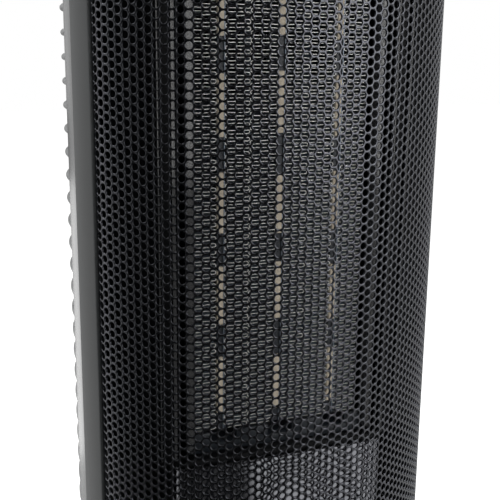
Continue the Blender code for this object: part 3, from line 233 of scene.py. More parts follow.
def circuitBoard():
    # green board: copper tracks under the mask, pads and printed grain
    g = Finish("circuit_green", Specular_IOR_Level=0.5)
    x, y, z = g.axes(g.coords())
    weave = g.noise(0.8 * mm, 2)
    across = ((x * (tau / (2.6 * mm)) + g.noise(9 * mm, 1) * 9).wave()).above(0.35)
    up = ((z * (tau / (3.1 * mm)) + y * (tau / (3.1 * mm)) + g.noise(11 * mm, 1) * 9).wave()).above(0.35)
    zone = g.noise(13 * mm, 1).above(0.5)
    tracks = across * zone + up * (1 - zone)
    pads = (g.cells(3.4 * mm) * -9 + 1.6).clamped().above(0.5)
    tone = g.mix(tracks * 0.7, (0.010, 0.070, 0.030), (0.024, 0.150, 0.060))
    g.put("Base Color", g.mix(pads * zone, tone, (0.55, 0.54, 0.50)))
    g.put("Roughness", 0.32 + weave * 0.2)
    g.put("Normal", g.bump(tracks + pads, 0.03 * mm, 0.6))
    return g.material


def ceramicFace():
    # fired beige plate: grain, pores, cloudy tone and faint scorch
    g = Finish("ceramic_beige", Roughness=0.6)
    grain = g.noise(0.25 * mm, 3, 0.6)
    cloud = g.noise(6 * mm, 3, 0.6)
    scorch = (g.noise(13 * mm, 2, 0.5, g.coords((1, 1, 0.5))) - 0.5).clamped() * 1.5
    pores = (g.cells(0.7 * mm) * -11 + 1.0).clamped()
    tone = g.mix(cloud, (0.62, 0.54, 0.42), (0.76, 0.67, 0.54))
    tone = g.mix(scorch, tone, (0.42, 0.33, 0.24))
    g.put("Base Color", g.mix(pores * 0.6, tone, (0.30, 0.24, 0.18)))
    g.put("Roughness", 0.55 + grain * 0.25)
    g.put("Normal", g.bump(grain - pores * 0.5, 0.03 * mm))
    return g.material


def filterWeave():
    # dark mesh filter: crossed threads with lint caught in them
    g = Finish("filter_weave", Roughness=0.9)
    x, y, z = g.axes(g.coords())
    pitch = tau / (1.1 * mm)
    up = (z * pitch).wave()
    across = (x * pitch).wave()
    threads = up * up * 0.5 + across * across * 0.5
    lint = (g.noise(14 * mm, 4, 0.7) - 0.5).clamped() * 1.2
    tone = g.mix(threads, (0.004, 0.004, 0.005), (0.045, 0.046, 0.050))
    g.put("Base Color", g.mix(lint, tone, (0.16, 0.155, 0.15)))
    g.put("Roughness", 0.75 + threads * 0.2)
    g.put("Normal", g.bump(threads, 0.25 * mm))
    return g.material


def smoked(name, dark, light, dust, **plain):
    # gloss dark surface: haze, fine swirl marks and a little dust, given as (tone, share)
    g = Finish(name, **plain)
    haze = g.noise(24 * mm, 3, 0.6)
    swirl = g.noise(1.6 * mm, 3, 0.7, g.coords((1.0, 1.0, 0.2)))
    specks = (g.cells(3.2 * mm) * -16 + 1.0).clamped() * g.noise(10 * mm).above(0.6)
    tone = g.mix(haze, dark, light)
    g.put("Base Color", g.mix(specks * dust[1], tone, (dust[0],) * 3))
    g.put("Roughness", (0.05 + swirl * 0.03 + specks * 0.3).clamped())
    g.put("Normal", g.bump(g.noise(18 * mm, 2), 0.02 * mm))
    return g.material


finishes = {
    "sheet": moulded("sheet_black", (0.0020, 0.0021, 0.0023), 0.17, 0.22 * mm, 0.004 * mm, 0.14, 0.05,
                     Specular_IOR_Level=1.0, Specular_Tint=(0.86, 0.89, 1.0)),
    "trim": moulded("trim_grey", (0.041, 0.044, 0.045), 0.25, 0.30 * mm, 0.006 * mm, 0.05, 0.15),
    "shell": moulded("shell_grey", (0.100, 0.104, 0.106), 0.40, 0.45 * mm, 0.020 * mm, 0.05, 0.20),
    "baseGloss": moulded("base_black_gloss", (0.010, 0.010, 0.011), 0.14, 0.5 * mm, 0.002 * mm, 0.15, 0.5),
    "inner": moulded("inner_black", (0.004, 0.0043, 0.005), 0.40, 0.4 * mm, 0.015 * mm, 0.15, 0.3,
                     Specular_IOR_Level=0.25),
    "duct": moulded("duct_black", (0.003, 0.0034, 0.0040), 0.34, 0.5 * mm, 0.010 * mm, 0.15, 0.2,
                    Specular_IOR_Level=0.08),
    "rail": moulded("rail_black_gloss", (0.008, 0.0086, 0.0100), 0.16, 0.5 * mm, 0.004 * mm, 0.15, 0.2,
                    Specular_IOR_Level=1.0),
    "holder": moulded("holder_grey", (0.022, 0.027, 0.034), 0.36, 0.4 * mm, 0.010 * mm, 0.12, 0.3),
    "panel": moulded("panel_black", (0.008, 0.008, 0.009), 0.10, 0.6 * mm, 0.001 * mm, 0.15, 0.4),
    "button": moulded("button_grey", (0.060, 0.062, 0.065), 0.38, 0.25 * mm, 0.010 * mm, 0.08, 0.2),
    "glyph": moulded("glyph_white", (0.70, 0.71, 0.72), 0.45, 0.25 * mm, 0.004 * mm, 0.03, 0.0),
    "rubber": moulded("rubber_black", (0.020, 0.020, 0.020), 0.80, 0.30 * mm, 0.030 * mm, 0.20, 0.8),
    "nylon": moulded("nylon_white", (0.66, 0.65, 0.61), 0.48, 0.35 * mm, 0.010 * mm, 0.04, 0.2),
    "screen": smoked("screen_smoked_mirror", (0.30, 0.305, 0.33), (0.38, 0.385, 0.41), (0.5, 0.2),
                     Metallic=1.0),
    "window": smoked("window_smoked", (0.0102, 0.01105, 0.01275), (0.0144, 0.0156, 0.018), (0.12, 0.3),
                     Specular_IOR_Level=1.0, IOR=1.9),
    "steel": metal("motor_steel_plate", (0.52, 0.53, 0.54), 0.34, (1.0, 1.0, 0.1)),
    "fin": finSheet(),
    "foil": metal("foil_bright", (0.85, 0.84, 0.82), 0.14, (0.2, 1.0, 1.0)),
    "ceramic": ceramicFace(),
    "filter": filterWeave(),
    "circuit": circuitBoard(),
}


# Helpers for pieces
def asMesh(bm, name):
    mesh = bpy.data.meshes.new(name)
    bm.to_mesh(mesh)
    bm.free()
    return mesh


def addObject(name, data):
    made = bpy.data.objects.new(name, data)
    bpy.context.scene.collection.objects.link(made)
    return made


def joinDoubles(bm, distance=0.004 * mm):
    bmesh.ops.remove_doubles(bm, verts=bm.verts, dist=distance)


def closeShape(bm):
    joinDoubles(bm)
    bmesh.ops.recalc_face_normals(bm, faces=bm.faces)


def addPiece(name, bm, finish, body, replaced=(), smooth=38):
    bm.edges.index_update()
    rims = [e.index for e in bm.edges if e.is_boundary]
    mesh = asMesh(bm, name)
    mesh.shade_smooth()
    mesh.set_sharp_from_angle(angle=radians(smooth))
    for i in rims:
        mesh.edges[i].use_edge_sharp = True
    mesh.materials.append(finishes[finish])
    piece = addObject(name, mesh)
    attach(piece, body)
    if replaced:
        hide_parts(*replaced)
    return piece


def addWall(piece, thickness, offset=-1.0):
    wall = piece.modifiers.new("wall", "SOLIDIFY")
    wall.thickness = thickness
    wall.offset = offset
    wall.use_even_offset = True


def onlyVerts(made):
    return [item for item in made if isinstance(item, bmesh.types.BMVert)]


def onlyEdges(made):
    return [item for item in made if isinstance(item, bmesh.types.BMEdge)]


def soften(bm, edges, width, segments=2):
    return bmesh.ops.bevel(
        bm, geom=list(edges), offset=width, offset_type="OFFSET", segments=segments,
        profile=0.5, affect="EDGES", material=-1, clamp_overlap=True,
    )


def addBox(bm, lowCorner, highCorner, edge=0.0, segments=2):
    a, b = Vector(lowCorner), Vector(highCorner)
    made = bmesh.ops.create_cube(bm, size=1.0)["verts"]
    bmesh.ops.scale(bm, vec=b - a, verts=made)
    bmesh.ops.translate(bm, vec=(a + b) / 2, verts=made)
    if edge:
        soften(bm, {e for v in made for e in v.link_edges}, edge, segments)
    return made


def chain(bm, points):
    verts = [bm.verts.new(p) for p in points]
    return verts, [bm.edges.new(pair) for pair in zip(verts, verts[1:])]


def cutPlane(bm, place, normal, geom=None, **more):
    geom = geom or bm.verts[:] + bm.edges[:] + bm.faces[:]
    bmesh.ops.bisect_plane(bm, geom=geom, plane_co=place, plane_no=normal, **more)


def spun(profile, steps, angle=tau, start=(1.0, 0.0)):
    # a profile of (radius, height) points round the upright axis
    bm = bmesh.new()
    verts, edges = chain(bm, [(r * start[0], r * start[1], z) for r, z in profile])
    bmesh.ops.spin(
        bm, geom=verts + edges, cent=(0, 0, 0), axis=(0, 0, 1),
        angle=angle, steps=steps, use_merge=angle == tau,
    )
    return bm


def turned(profile, steps, place=(0.0, 0.0, 0.0)):
    bm = spun(profile, steps)
    closeShape(bm)
    bm.transform(Matrix.Translation(place))
    return bm


def faceOutwards(bm, way):
    # turns an open shape whose outermost face looks inwards
    way = Vector(way)
    face = max(bm.faces, key=lambda f: f.calc_center_median().dot(way))
    if face.normal.dot(way) < 0:
        bmesh.ops.reverse_faces(bm, faces=bm.faces[:])


def arc(centre, radii, start, end, steps):
    angles = [radians(start + (end - start) * i / steps) for i in range(steps + 1)]
    return [(centre[0] + radii[0] * cos(a), centre[1] + radii[1] * sin(a)) for a in angles]


def pushFaces(bm, faces, move):
    made = bmesh.ops.extrude_face_region(bm, geom=list(faces))["geom"]
    bmesh.ops.translate(bm, vec=move, verts=onlyVerts(made))
    return made


def pushEdges(bm, edges, move):
    made = bmesh.ops.extrude_edge_only(bm, edges=list(edges))["geom"]
    bmesh.ops.translate(bm, vec=move, verts=onlyVerts(made))
    return made


# Outlines of the tower, counted from straight ahead, positive towards +X
rearPower = 2 / 2.4
towerSteps = 112


def towerPoint(angle, inset=0.0):
    if cos(angle) >= 0:
        return (halfWidth - inset) * sin(angle), -(frontDepth - inset) * cos(angle)
    side = 1 if sin(angle) > 0 else -1
    x = side * (halfWidth - inset) * abs(sin(angle)) ** rearPower
    return x, (rearDepth - inset) * abs(cos(angle)) ** rearPower


def spunTower(profile):
    # a shape spun at 1 m radius takes the tower's outline, radius loss becomes inset
    bm = spun([(1.0 - inset, z) for inset, z in profile], towerSteps, start=(0.0, -1.0))
    for v in bm.verts:
        x, y = towerPoint(atan2(v.co.x, -v.co.y), 1.0 - hypot(v.co.x, v.co.y))
        v.co = (x, y, v.co.z)
    joinDoubles(bm)
    return bm


# Camera at the photograph's place
view = {
    "place": (-154.2 * mm, -403.5 * mm, 450.0 * mm),
    "heading": 20.7, "pitch": 13.02, "roll": 0.62, "lens": 62.35,
}


def setCamera():
    camera = bpy.data.cameras.new("photo_view")
    camera.lens = view["lens"]
    camera.sensor_width = 36.0
    camera.clip_start = 0.01
    piece = addObject("photo_view", camera)
    turn = Matrix.Rotation(-radians(view["heading"]), 4, "Z")
    tilt = Matrix.Rotation(radians(90 - view["pitch"]), 4, "X")
    roll = Matrix.Rotation(radians(view["roll"]), 4, "Z")
    piece.matrix_world = Matrix.Translation(view["place"]) @ turn @ tilt @ roll
    bpy.context.scene.camera = piece


# Soft studio light
softboxes = {
    "key": {"place": (0.82, -1.08, 0.86), "aim": (0.0, 0.0, 0.45), "size": (1.25, 1.35), "power": 14.0},
    "top": {"place": (0.25, 0.10, 1.85), "aim": (0.0, 0.0, 0.45), "size": (1.1, 0.9), "power": 9.0},
    "left": {"place": (-0.837, 0.483, 1.23), "aim": (0.0, 0.0, 0.36), "size": (1.3, 0.6), "power": 9.8},
    "rim": {"place": (-0.187, 0.464, 0.17), "aim": (0.0, 0.0, 0.17), "size": (0.26, 0.30), "power": 0.30},
}


def setLights():
    for name, box in softboxes.items():
        lamp = bpy.data.lights.new("softbox_" + name, "AREA")
        lamp.shape = "RECTANGLE"
        lamp.size, lamp.size_y = box["size"]
        lamp.energy = box["power"]
        piece = addObject("softbox_" + name, lamp)
        aim = Vector(box["aim"]) - Vector(box["place"])
        piece.visible_camera = False
        turn = aim.to_track_quat("-Z", "Y").to_matrix().to_4x4()
        piece.matrix_world = Matrix.Translation(box["place"]) @ turn


def headingOf(x, y):
    # degrees from straight ahead, positive to the right
    return x.maths("ARCTAN2", y * -1.0) * (180 / pi)


# What mirrors see by heading: (start, width in degrees, strength)
reflections = {
    "base": 0.03, "near": (4.0, 12.0, 0.03), "right": (16.4, 1 / 0.7, 0.67), "rightFall": (80.0, 35.0, -0.3),
    "left": (72.0, 42.0, 1.05), "behind": (160.0, 12.0, 0.85), "steepFrom": 0.78, "steepGrowth": 6,
    "steep": 0.9, "worldFill": 0.24, "floorSeen": 3.05, "floorShare": 0.3,
}


def slope(value, start, width, strength):
    return ((value - start) * (1 / width)).clamped() * strength


def shine(heading, steep=0.0):
    # dark round the camera, bright to the right, left and above
    right = slope(heading, *reflections["near"]) + slope(heading, *reflections["right"])
    right = right + slope(heading, *reflections["rightFall"])
    left = slope(heading * -1.0, *reflections["left"])
    return reflections["base"] + (right + left + steep).clamped()


def rayKinds(g):
    # rays from the camera, straight or through glass, and rays from mirrors
    ray = g.tree.nodes.new("ShaderNodeLightPath")
    seen = Wire(g, ray.outputs["Is Camera Ray"]) + Wire(g, ray.outputs["Is Transmission Ray"])
    return seen, Wire(g, ray.outputs["Is Glossy Ray"])


def setWorld():
    world = bpy.data.worlds.new("studio")
    world.use_nodes = True
    bpy.context.scene.world = world
    g = Graph(world.node_tree)
    seen, mirrored = rayKinds(g)
    x, y, z = g.axes(g.node("ShaderNodeTexCoord", {}, {}, "Generated"))
    steep = ((z - reflections["steepFrom"]) * reflections["steepGrowth"]).clamped() * reflections["steep"]
    strength = seen + mirrored * shine(headingOf(x, y), steep)
    strength = strength + (1 - seen - mirrored).clamped() * reflections["worldFill"]
    back = world.node_tree.nodes["Background"]
    g.feed(back.inputs["Color"], (1.0, 1.0, 1.0))
    g.feed(back.inputs["Strength"], strength)


def addFloor():
    bm = bmesh.new()
    bmesh.ops.create_grid(bm, x_segments=1, y_segments=1, size=6.0)
    mesh = asMesh(bm, "studio_floor")
    g = Finish("floor_pale", Roughness=0.8)
    tone = g.mix(g.noise(0.4, 3), (0.80, 0.80, 0.80), (0.83, 0.83, 0.82))
    g.put("Base Color", tone)
    seen, mirrored = rayKinds(g)
    x, y, z = g.axes(g.coords())
    heading = headingOf(x, y)
    behind = slope(heading.maths("ABSOLUTE"), *reflections["behind"])
    strength = seen * reflections["floorSeen"] + mirrored * shine(heading) * (1 - behind)
    glow = g.node("ShaderNodeEmission", {}, {"Color": (1.0, 1.0, 1.0), "Strength": strength})
    share = seen * reflections["floorShare"] + mirrored
    blended = g.node("ShaderNodeMixShader", {}, {0: share, 1: Wire(g, g.shader.outputs[0]), 2: glow})
    g.feed(g.tree.nodes["Material Output"].inputs["Surface"], blended)
    mesh.materials.append(g.material)
    floor = addObject("studio_floor", mesh)


bpy.context.scene.view_settings.view_transform = "Standard"
setCamera()
setLights()
setWorld()
addFloor()
print("stage: camera, lights and floor")


# Perforated front: staggered round holes laid out flat, bent by arc length
grille = {
    "pitch": 4.0 * mm, "hole": 3.24 * mm, "rolledEdge": 0.16 * mm, "corners": 12, "sheet": 0.75 * mm,
    "columns": 60, "firstRow": 55.48 * mm, "lastRow": 555.48 * mm, "cutAt": 101.1 * mm,
    "borderTrim": 0.05 * mm, "bendFrom": 86.0 * mm, "bend": 0.0004 * mm,
    "parts": ("left", "middle_left", "middle", "middle_right", "right"),
}
bendSteps = 1400
bendReach = radians(68)


def arcLengths():
    lengths = [0.0]
    for i in range(bendSteps):
        a = Vector(towerPoint(bendReach * i / bendSteps))
        b = Vector(towerPoint(bendReach * (i + 1) / bendSteps))
        lengths.append(lengths[-1] + (b - a).length)
    return lengths


bendTable = arcLengths()


def bentPoint(s, inset=0.0):
    reach = min(abs(s), bendTable[-1])
    inset += grille["bend"] * max(0.0, (reach - grille["bendFrom"]) / mm) ** 3
    i = min(bisect_right(bendTable, reach) - 1, bendSteps - 1)
    share = (reach - bendTable[i]) / (bendTable[i + 1] - bendTable[i])
    x, y = towerPoint(bendReach * (i + share) / bendSteps, inset)
    return (x if s > 0 else -x), y


def holeCell():
    # one round hole in a hexagon of sheet, from the back layer round the rolled edge to the face
    half = grille["pitch"] / 2
    edge = grille["rolledEdge"]
    wide = 1 + edge / (grille["hole"] / 2)
    bm = bmesh.new()
    bmesh.ops.create_circle(bm, cap_ends=False, segments=grille["corners"], radius=grille["hole"] / 2)
    bmesh.ops.translate(bm, vec=(0.0, 0.0, -grille["sheet"]), verts=bm.verts)
    wall = bm.edges[:]
    hexagons = onlyVerts(bmesh.ops.extrude_edge_only(bm, edges=wall)["geom"])
    made = pushEdges(bm, wall, (0.0, 0.0, grille["sheet"] - edge))
    made = pushEdges(bm, onlyEdges(made), (0.0, 0.0, edge))
    bmesh.ops.scale(bm, vec=(wide, wide, 1.0), verts=onlyVerts(made))
    made = bmesh.ops.extrude_edge_only(bm, edges=onlyEdges(made))["geom"]
    hexagons += onlyVerts(made)
    for v in hexagons:
        angle = atan2(v.co.y, v.co.x)
        flat = (round((angle - pi / 6) / (pi / 3)) + 0.5) * pi / 3
        reach = half / cos(angle - flat)
        v.co = (cos(angle) * reach, sin(angle) * reach, v.co.z)
    return bm


def holeColumn(firstRow, rows):
    bm = holeCell()
    source = bm.verts[:] + bm.edges[:] + bm.faces[:]
    for row in range(1, rows):
        made = bmesh.ops.duplicate(bm, geom=source)["geom"]
        bmesh.ops.translate(bm, vec=(0.0, grille["pitch"] * row, 0.0), verts=onlyVerts(made))
    bmesh.ops.translate(bm, vec=(0.0, firstRow, 0.0), verts=bm.verts)
    joinDoubles(bm)
    return bm


def addGrille():
    pitch = grille["pitch"]
    step = pitch * cos(pi / 6)
    rows = round((grille["lastRow"] - grille["firstRow"]) / pitch) + 1
    meshes = [
        asMesh(holeColumn(grille["firstRow"], rows), "hole_column"),
        asMesh(holeColumn(grille["firstRow"] + pitch / 2, rows - 1), "hole_column"),
    ]
    lowEdge = grille["firstRow"] + grille["borderTrim"]
    highEdge = grille["lastRow"] - grille["borderTrim"]
    perPart = grille["columns"] // len(grille["parts"])
    for part, side in enumerate(grille["parts"]):
        bm = bmesh.new()
        start = part * perPart - grille["columns"] // 2
        for k in range(start, start + perPart):
            before = len(bm.verts)
            bm.from_mesh(meshes[k % 2])
            bm.verts.ensure_lookup_table()
            bmesh.ops.translate(bm, vec=(step * (k + 0.5), 0.0, 0.0), verts=bm.verts[before:])
        joinDoubles(bm)
        for limit, level, below in ((lowEdge, sheetLow, True), (highEdge, sheetTop, False)):
            rim = [e for e in bm.edges if e.is_boundary]
            edges = [e for e in rim if (sum(v.co.y for v in e.verts) / 2 < limit) == below]
            made = bmesh.ops.extrude_edge_only(bm, edges=edges)["geom"]
            for v in onlyVerts(made):
                v.co.y = level
        if part in (0, len(grille["parts"]) - 1):
            outward = -1.0 if part == 0 else 1.0
            place = (outward * grille["cutAt"], 0.0, 0.0)
            cutPlane(bm, place, (outward, 0.0, 0.0), dist=0.1 * same, clear_outer=True)
        front = [e for e in bm.edges if e.is_boundary and all(v.co.z > -same for v in e.verts)]
        pushEdges(bm, front, (0.0, 0.0, -grille["sheet"]))
        for v in bm.verts:
            x, y = bentPoint(v.co.x, -v.co.z)
            v.co = (x, y, v.co.y)
        closeShape(bm)
        replaced = ("front_grille",) if part == 2 else ()
        addPiece("perforated_sheet_" + side, bm, "sheet", "tower", replaced, 60)
    for mesh in meshes:
        bpy.data.meshes.remove(mesh)


addGrille()
print("stage: perforated front")


# Side trims: a thick strip, creased near its rear edge, with a thin skirt over the rear shell
trim = {
    "start": 66.0, "gap": 0.6 * mm, "crease": 77.0, "wall": 4.5 * mm, "steps": 14,
    "tail": (92.95 * mm, -6.0 * mm), "skirt": 0.9 * mm, "tailRound": 0.3 * mm, "frontRound": 0.22 * mm,
    "shellGap": 0.3 * mm, "roundSteps": 3,
}


def addTrims():
    shellFront = low("rear_shell").y - trim["shellGap"]
    for side, name in ((-1, "left"), (1, "right")):
        start = radians(trim["start"]) + trim["gap"] / halfWidth
        end = radians(trim["crease"])
        bm = bmesh.new()
        outer = [towerPoint(start + (end - start) * i / trim["steps"]) for i in range(trim["steps"] + 1)]
        tailX, tailY = trim["tail"]
        plan = outer + [(tailX, tailY), (tailX - trim["skirt"], tailY), (tailX - trim["skirt"], shellFront)]
        plan += [(towerPoint(end, trim["wall"])[0], shellFront), towerPoint(start, trim["wall"])]
        face = bm.faces.new([bm.verts.new((side * x, y, sheetLow)) for x, y in plan])
        pushFaces(bm, [face], (0.0, 0.0, sheetTop - sheetLow))
        closeShape(bm)
        uprights = [e for e in bm.edges if abs(e.verts[0].co.z - e.verts[1].co.z) > 0.1]
        for place, width in ((trim["tail"], trim["tailRound"]), (outer[0], trim["frontRound"])):
            corner = Vector((side * place[0], place[1]))
            edges = [e for e in uprights if e.is_valid and (e.verts[0].co.xy - corner).length < close]
            soften(bm, edges, width, trim["roundSteps"])
        piece = addPiece("trim_strip_" + name, bm, "trim", "tower", ("trim_" + name,), 31)
        crease = Vector((side * outer[-1][0], outer[-1][1]))
        spots = [(v.co.xy - crease).length < close for v in piece.data.vertices]
        for e in piece.data.edges:
            if all(spots[i] for i in e.vertices):
                e.use_edge_sharp = True


addTrims()


# Rear shell: round ribs all round it and slots in the valleys behind the blower
shell = {
    "half": 89.5 * mm, "depth": 80.0 * mm, "wall": 2.5 * mm, "steps": 60,
    "ribPitch": 11.19 * mm, "ribLowest": 222.1 * mm, "ribWidth": 3.8 * mm, "ribHeights": (1.4 * mm, 2.3 * mm),
    "ribGrowth": (240 * mm, 424 * mm), "ribSteps": 8, "ribShape": (2.2, 0.62),
    "slotHalf": 40.0 * mm, "slotHeight": 5.8 * mm, "slotMargin": 6.0 * mm,
}


def ribLevels():
    top = high("rear_shell").z - shell["ribWidth"]
    count = int((top - shell["ribLowest"]) / shell["ribPitch"]) + 1
    return [shell["ribLowest"] + shell["ribPitch"] * i for i in range(count)]


def ribHeight(z):
    # the ribs grow taller upwards
    a, b = shell["ribGrowth"]
    share = max(0.0, min(1.0, (z - a) / (b - a)))
    return shell["ribHeights"][0] * (1 - share) + shell["ribHeights"][1] * share


def slotLevels():
    half = shell["slotHeight"] / 2
    middles = [z + shell["ribPitch"] / 2 for z in ribLevels()]
    floorLimit = midShelfTop + shell["slotMargin"] + half
    roofLimit = topShelfLow - shell["slotMargin"] - half
    return [(z - half, z + half) for z in middles if floorLimit < z < roofLimit]


def addRearShell():
    bottom, top = heights("rear_shell")
    stations = [(0.0, bottom), (0.0, top)] + [(0.0, z) for pair in slotLevels() for z in pair]
    flank, crown = shell["ribShape"]
    for z in ribLevels():
        for i in range(shell["ribSteps"] + 1):
            across = 2 * i / shell["ribSteps"] - 1
            rise = max(0.0, 1 - abs(across) ** flank) ** crown
            stations.append((ribHeight(z) * rise, z + shell["ribWidth"] / 2 * across))
    stations.sort(key=lambda station: station[1])
    bm = spun([(1.0 + out, z) for out, z in stations], shell["steps"], pi)
    for v in bm.verts:
        angle = atan2(v.co.y, v.co.x)
        out = hypot(v.co.x, v.co.y) - 1.0
        side = 1 if cos(angle) > 0 else -1
        x = side * (shell["half"] + out) * abs(cos(angle)) ** rearPower
        v.co = (x, (shell["depth"] + out) * abs(sin(angle)) ** rearPower, v.co.z)
    joinDoubles(bm)
    front = low("rear_shell").y
    ends = [e for e in bm.edges if e.is_boundary and max(abs(v.co.y) for v in e.verts) < close]
    for v in onlyVerts(bmesh.ops.extrude_edge_only(bm, edges=ends)["geom"]):
        v.co.y = front
    for side in (-1, 1):
        region = [f for f in bm.faces if f.calc_center_median().y > shell["depth"] / 2]
        around = region + list({e for f in region for e in f.edges})
        around += list({v for f in region for v in f.verts})
        cutPlane(bm, (side * shell["slotHalf"], 0.0, 0.0), (1.0, 0.0, 0.0), around, dist=same)
    slots = []
    levels = slotLevels()
    for f in bm.faces:
        m = f.calc_center_median()
        if m.y > 0 and abs(m.x) < shell["slotHalf"] and any(a < m.z < b for a, b in levels):
            slots.append(f)
    bmesh.ops.delete(bm, geom=slots, context="FACES")
    bmesh.ops.recalc_face_normals(bm, faces=bm.faces)
    faceOutwards(bm, (0, 1, 0))
    piece = addPiece("ribbed_shell", bm, "shell", "tower", ("rear_shell",), 50)
    addWall(piece, shell["wall"])


addRearShell()


# Top cap, with a rounded shoulder and a recess for the panel
cap = {
    "round": 10.0 * mm, "roundSteps": 8, "edge": 0.5 * mm, "wall": 2.2 * mm,
    "recess": 3.3 * mm, "corner": 8.0 * mm, "panelGap": 0.3 * mm,
}


def roundedLoop(bm, halfX, halfY, corner, z, centre, segments=7):
    # edges of a rectangle with round corners
    made = [bm.verts.new((centre[0] + sx * halfX, centre[1] + sy * halfY, z))
            for sx, sy in ((-1, -1), (1, -1), (1, 1), (-1, 1))]
    bm.faces.new(made)
    bmesh.ops.bevel(
        bm, geom=made, offset=corner, offset_type="OFFSET", segments=segments,
        profile=0.5, affect="VERTICES", material=-1, clamp_overlap=True,
    )
    face = [f for f in bm.faces if f.is_valid and abs(f.calc_center_median().z - z) < same
            and (f.calc_center_median().xy - Vector(centre)).length < 0.5 * mm and len(f.verts) > 8][0]
    edges = face.edges[:]
    bmesh.ops.delete(bm, geom=[face], context="FACES_ONLY")
    return edges


def addCap():
    shoulder = arc((0.0, capTop - cap["round"]), (cap["round"], cap["round"]), 0, 90, cap["roundSteps"])
    profile = [(cap["edge"], capLow), (0.0, capLow + cap["edge"])]
    profile += [(cap["round"] - r, z) for r, z in shoulder]
    bm = spunTower(profile)
    rim = [e for e in bm.edges if e.is_boundary and e.verts[0].co.z > capTop - close]
    panelLow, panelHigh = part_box("control_panel")
    centre = middle(panelLow, panelHigh)
    halfX = (panelHigh.x - panelLow.x) / 2 + cap["panelGap"]
    halfY = (panelHigh.y - panelLow.y) / 2 + cap["panelGap"]
    hole = roundedLoop(bm, halfX, halfY, cap["corner"], capTop, centre)
    bmesh.ops.triangle_fill(bm, use_beauty=True, use_dissolve=False, edges=rim + hole, normal=(0.0, 0.0, 1.0))
    hole = [e for e in hole if e.is_valid]
    pushEdges(bm, hole, (0.0, 0.0, -cap["recess"]))
    closeShape(bm)
    faceOutwards(bm, (0, 0, 1))
    piece = addPiece("cap_shell", bm, "shell", "tower", ("top_cap",), 35)
    addWall(piece, cap["wall"])


addCap()


# Tower floor, with the outline of the tower
slab = {"round": 2.0 * mm, "reach": 70.0 * mm}


def addTowerFloor():
    width = slab["round"]
    profile = [(slab["reach"], floorLow), (width, floorLow)]
    for angle in (30, 60, 90):
        profile.append((width * (1 - sin(radians(angle))), floorLow + width * (1 - cos(radians(angle)))))
    profile += [(0.0, floorTop), (slab["reach"], floorTop)]
    bm = spunTower(profile)
    inner = [e for e in bm.edges if e.is_boundary]
    bmesh.ops.bridge_loops(bm, edges=inner)
    closeShape(bm)
    addPiece("floor_slab", bm, "shell", "tower", ("tower_floor",), 35)


addTowerFloor()
print("stage: outer shells")


# Control panel: gloss plate with round holes, and a smoked window
panel = {
    "corner": 8.0 * mm, "holeGap": 0.3 * mm, "holeSteps": 40,
    "windowGap": 0.2 * mm, "windowCorner": 2.0 * mm, "windowSteps": 4, "windowEdge": 0.25 * mm,
}


def addPanel():
    a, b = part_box("control_panel")
    bm = bmesh.new()
    loops = roundedLoop(bm, (b.x - a.x) / 2, (b.y - a.y) / 2, panel["corner"], b.z, middle(a, b))
    wa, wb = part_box("display_window")
    half = (wb.x - wa.x) / 2, (wb.y - wa.y) / 2
    cut = [h + panel["windowGap"] for h in half]
    loops += roundedLoop(bm, *cut, panel["windowCorner"], b.z, middle(wa, wb), panel["windowSteps"])
    for name in button["names"]:
        made = bmesh.ops.create_circle(
            bm, cap_ends=False, segments=panel["holeSteps"], radius=button["radius"] + panel["holeGap"],
            matrix=Matrix.Translation((*middle(*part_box("button_" + name)), b.z)),
        )["verts"]
        loops += list({e for v in made for e in v.link_edges})
    bmesh.ops.triangle_fill(bm, use_beauty=True, use_dissolve=False, edges=loops, normal=(0.0, 0.0, 1.0))
    pushFaces(bm, bm.faces[:], (0.0, 0.0, a.z - b.z))
    closeShape(bm)
    addPiece("panel_plate", bm, "panel", "tower", ("control_panel",), 30)

    bm = bmesh.new()
    roundedLoop(bm, *half, panel["windowCorner"], wa.z, middle(wa, wb), panel["windowSteps"])
    bmesh.ops.contextual_create(bm, geom=bm.edges[:])
    pushFaces(bm, bm.faces[:], (0.0, 0.0, wb.z - wa.z))
    closeShape(bm)
    top = [e for e in bm.edges if min(v.co.z for v in e.verts) > wb.z - close]
    soften(bm, top, panel["windowEdge"], 2)
    addPiece("window_lens", bm, "window", "tower", ("display_window",), 30)


# Buttons: dished tops with plain signs
button = {
    "names": ("power", "heat", "timer", "swing", "flame"), "radius": 6.5 * mm, "steps": 48,
    "flange": 1.0 * mm, "edge": 0.4 * mm, "rim": 1.0 * mm, "rimDrop": 0.05 * mm, "dish": 0.25 * mm,
    "line": 0.45 * mm, "ring": 2.1 * mm, "sink": 0.05 * mm, "raise": 0.10 * mm,
}
arrowHead = ((0.5, 1.0), (-0.8, 0.2), (0.7, -0.5))
flameOutline = (
    (0.0, -1.0), (0.5, -0.8), (0.72, -0.35), (0.62, 0.1), (0.35, 0.5), (0.12, 1.15),
    (-0.05, 0.7), (-0.3, 0.35), (-0.42, 0.62), (-0.62, 0.2), (-0.72, -0.3), (-0.5, -0.8),
)


def arcBand(bm, centre, radius, width, start, end, z):
    # flat band along an arc, angles in degrees
    a = radians(start)
    radii = radius - width / 2, radius + width / 2
    verts, edges = chain(bm, [(centre[0] + r * cos(a), centre[1] + r * sin(a), z) for r in radii])
    bmesh.ops.spin(
        bm, geom=verts + edges, cent=(*centre, z), axis=(0, 0, 1),
        angle=radians(end - start), steps=max(4, int(abs(end - start) / 12)), use_merge=end - start >= 360,
    )


def flatBar(bm, a, b, width, z):
    along = (Vector(b) - Vector(a)).normalized() * (width / 2)
    across = Vector((-along.y, along.x))
    corners = [Vector(a) - across, Vector(b) - across, Vector(b) + across, Vector(a) + across]
    bm.faces.new([bm.verts.new((c.x, c.y, z)) for c in corners])


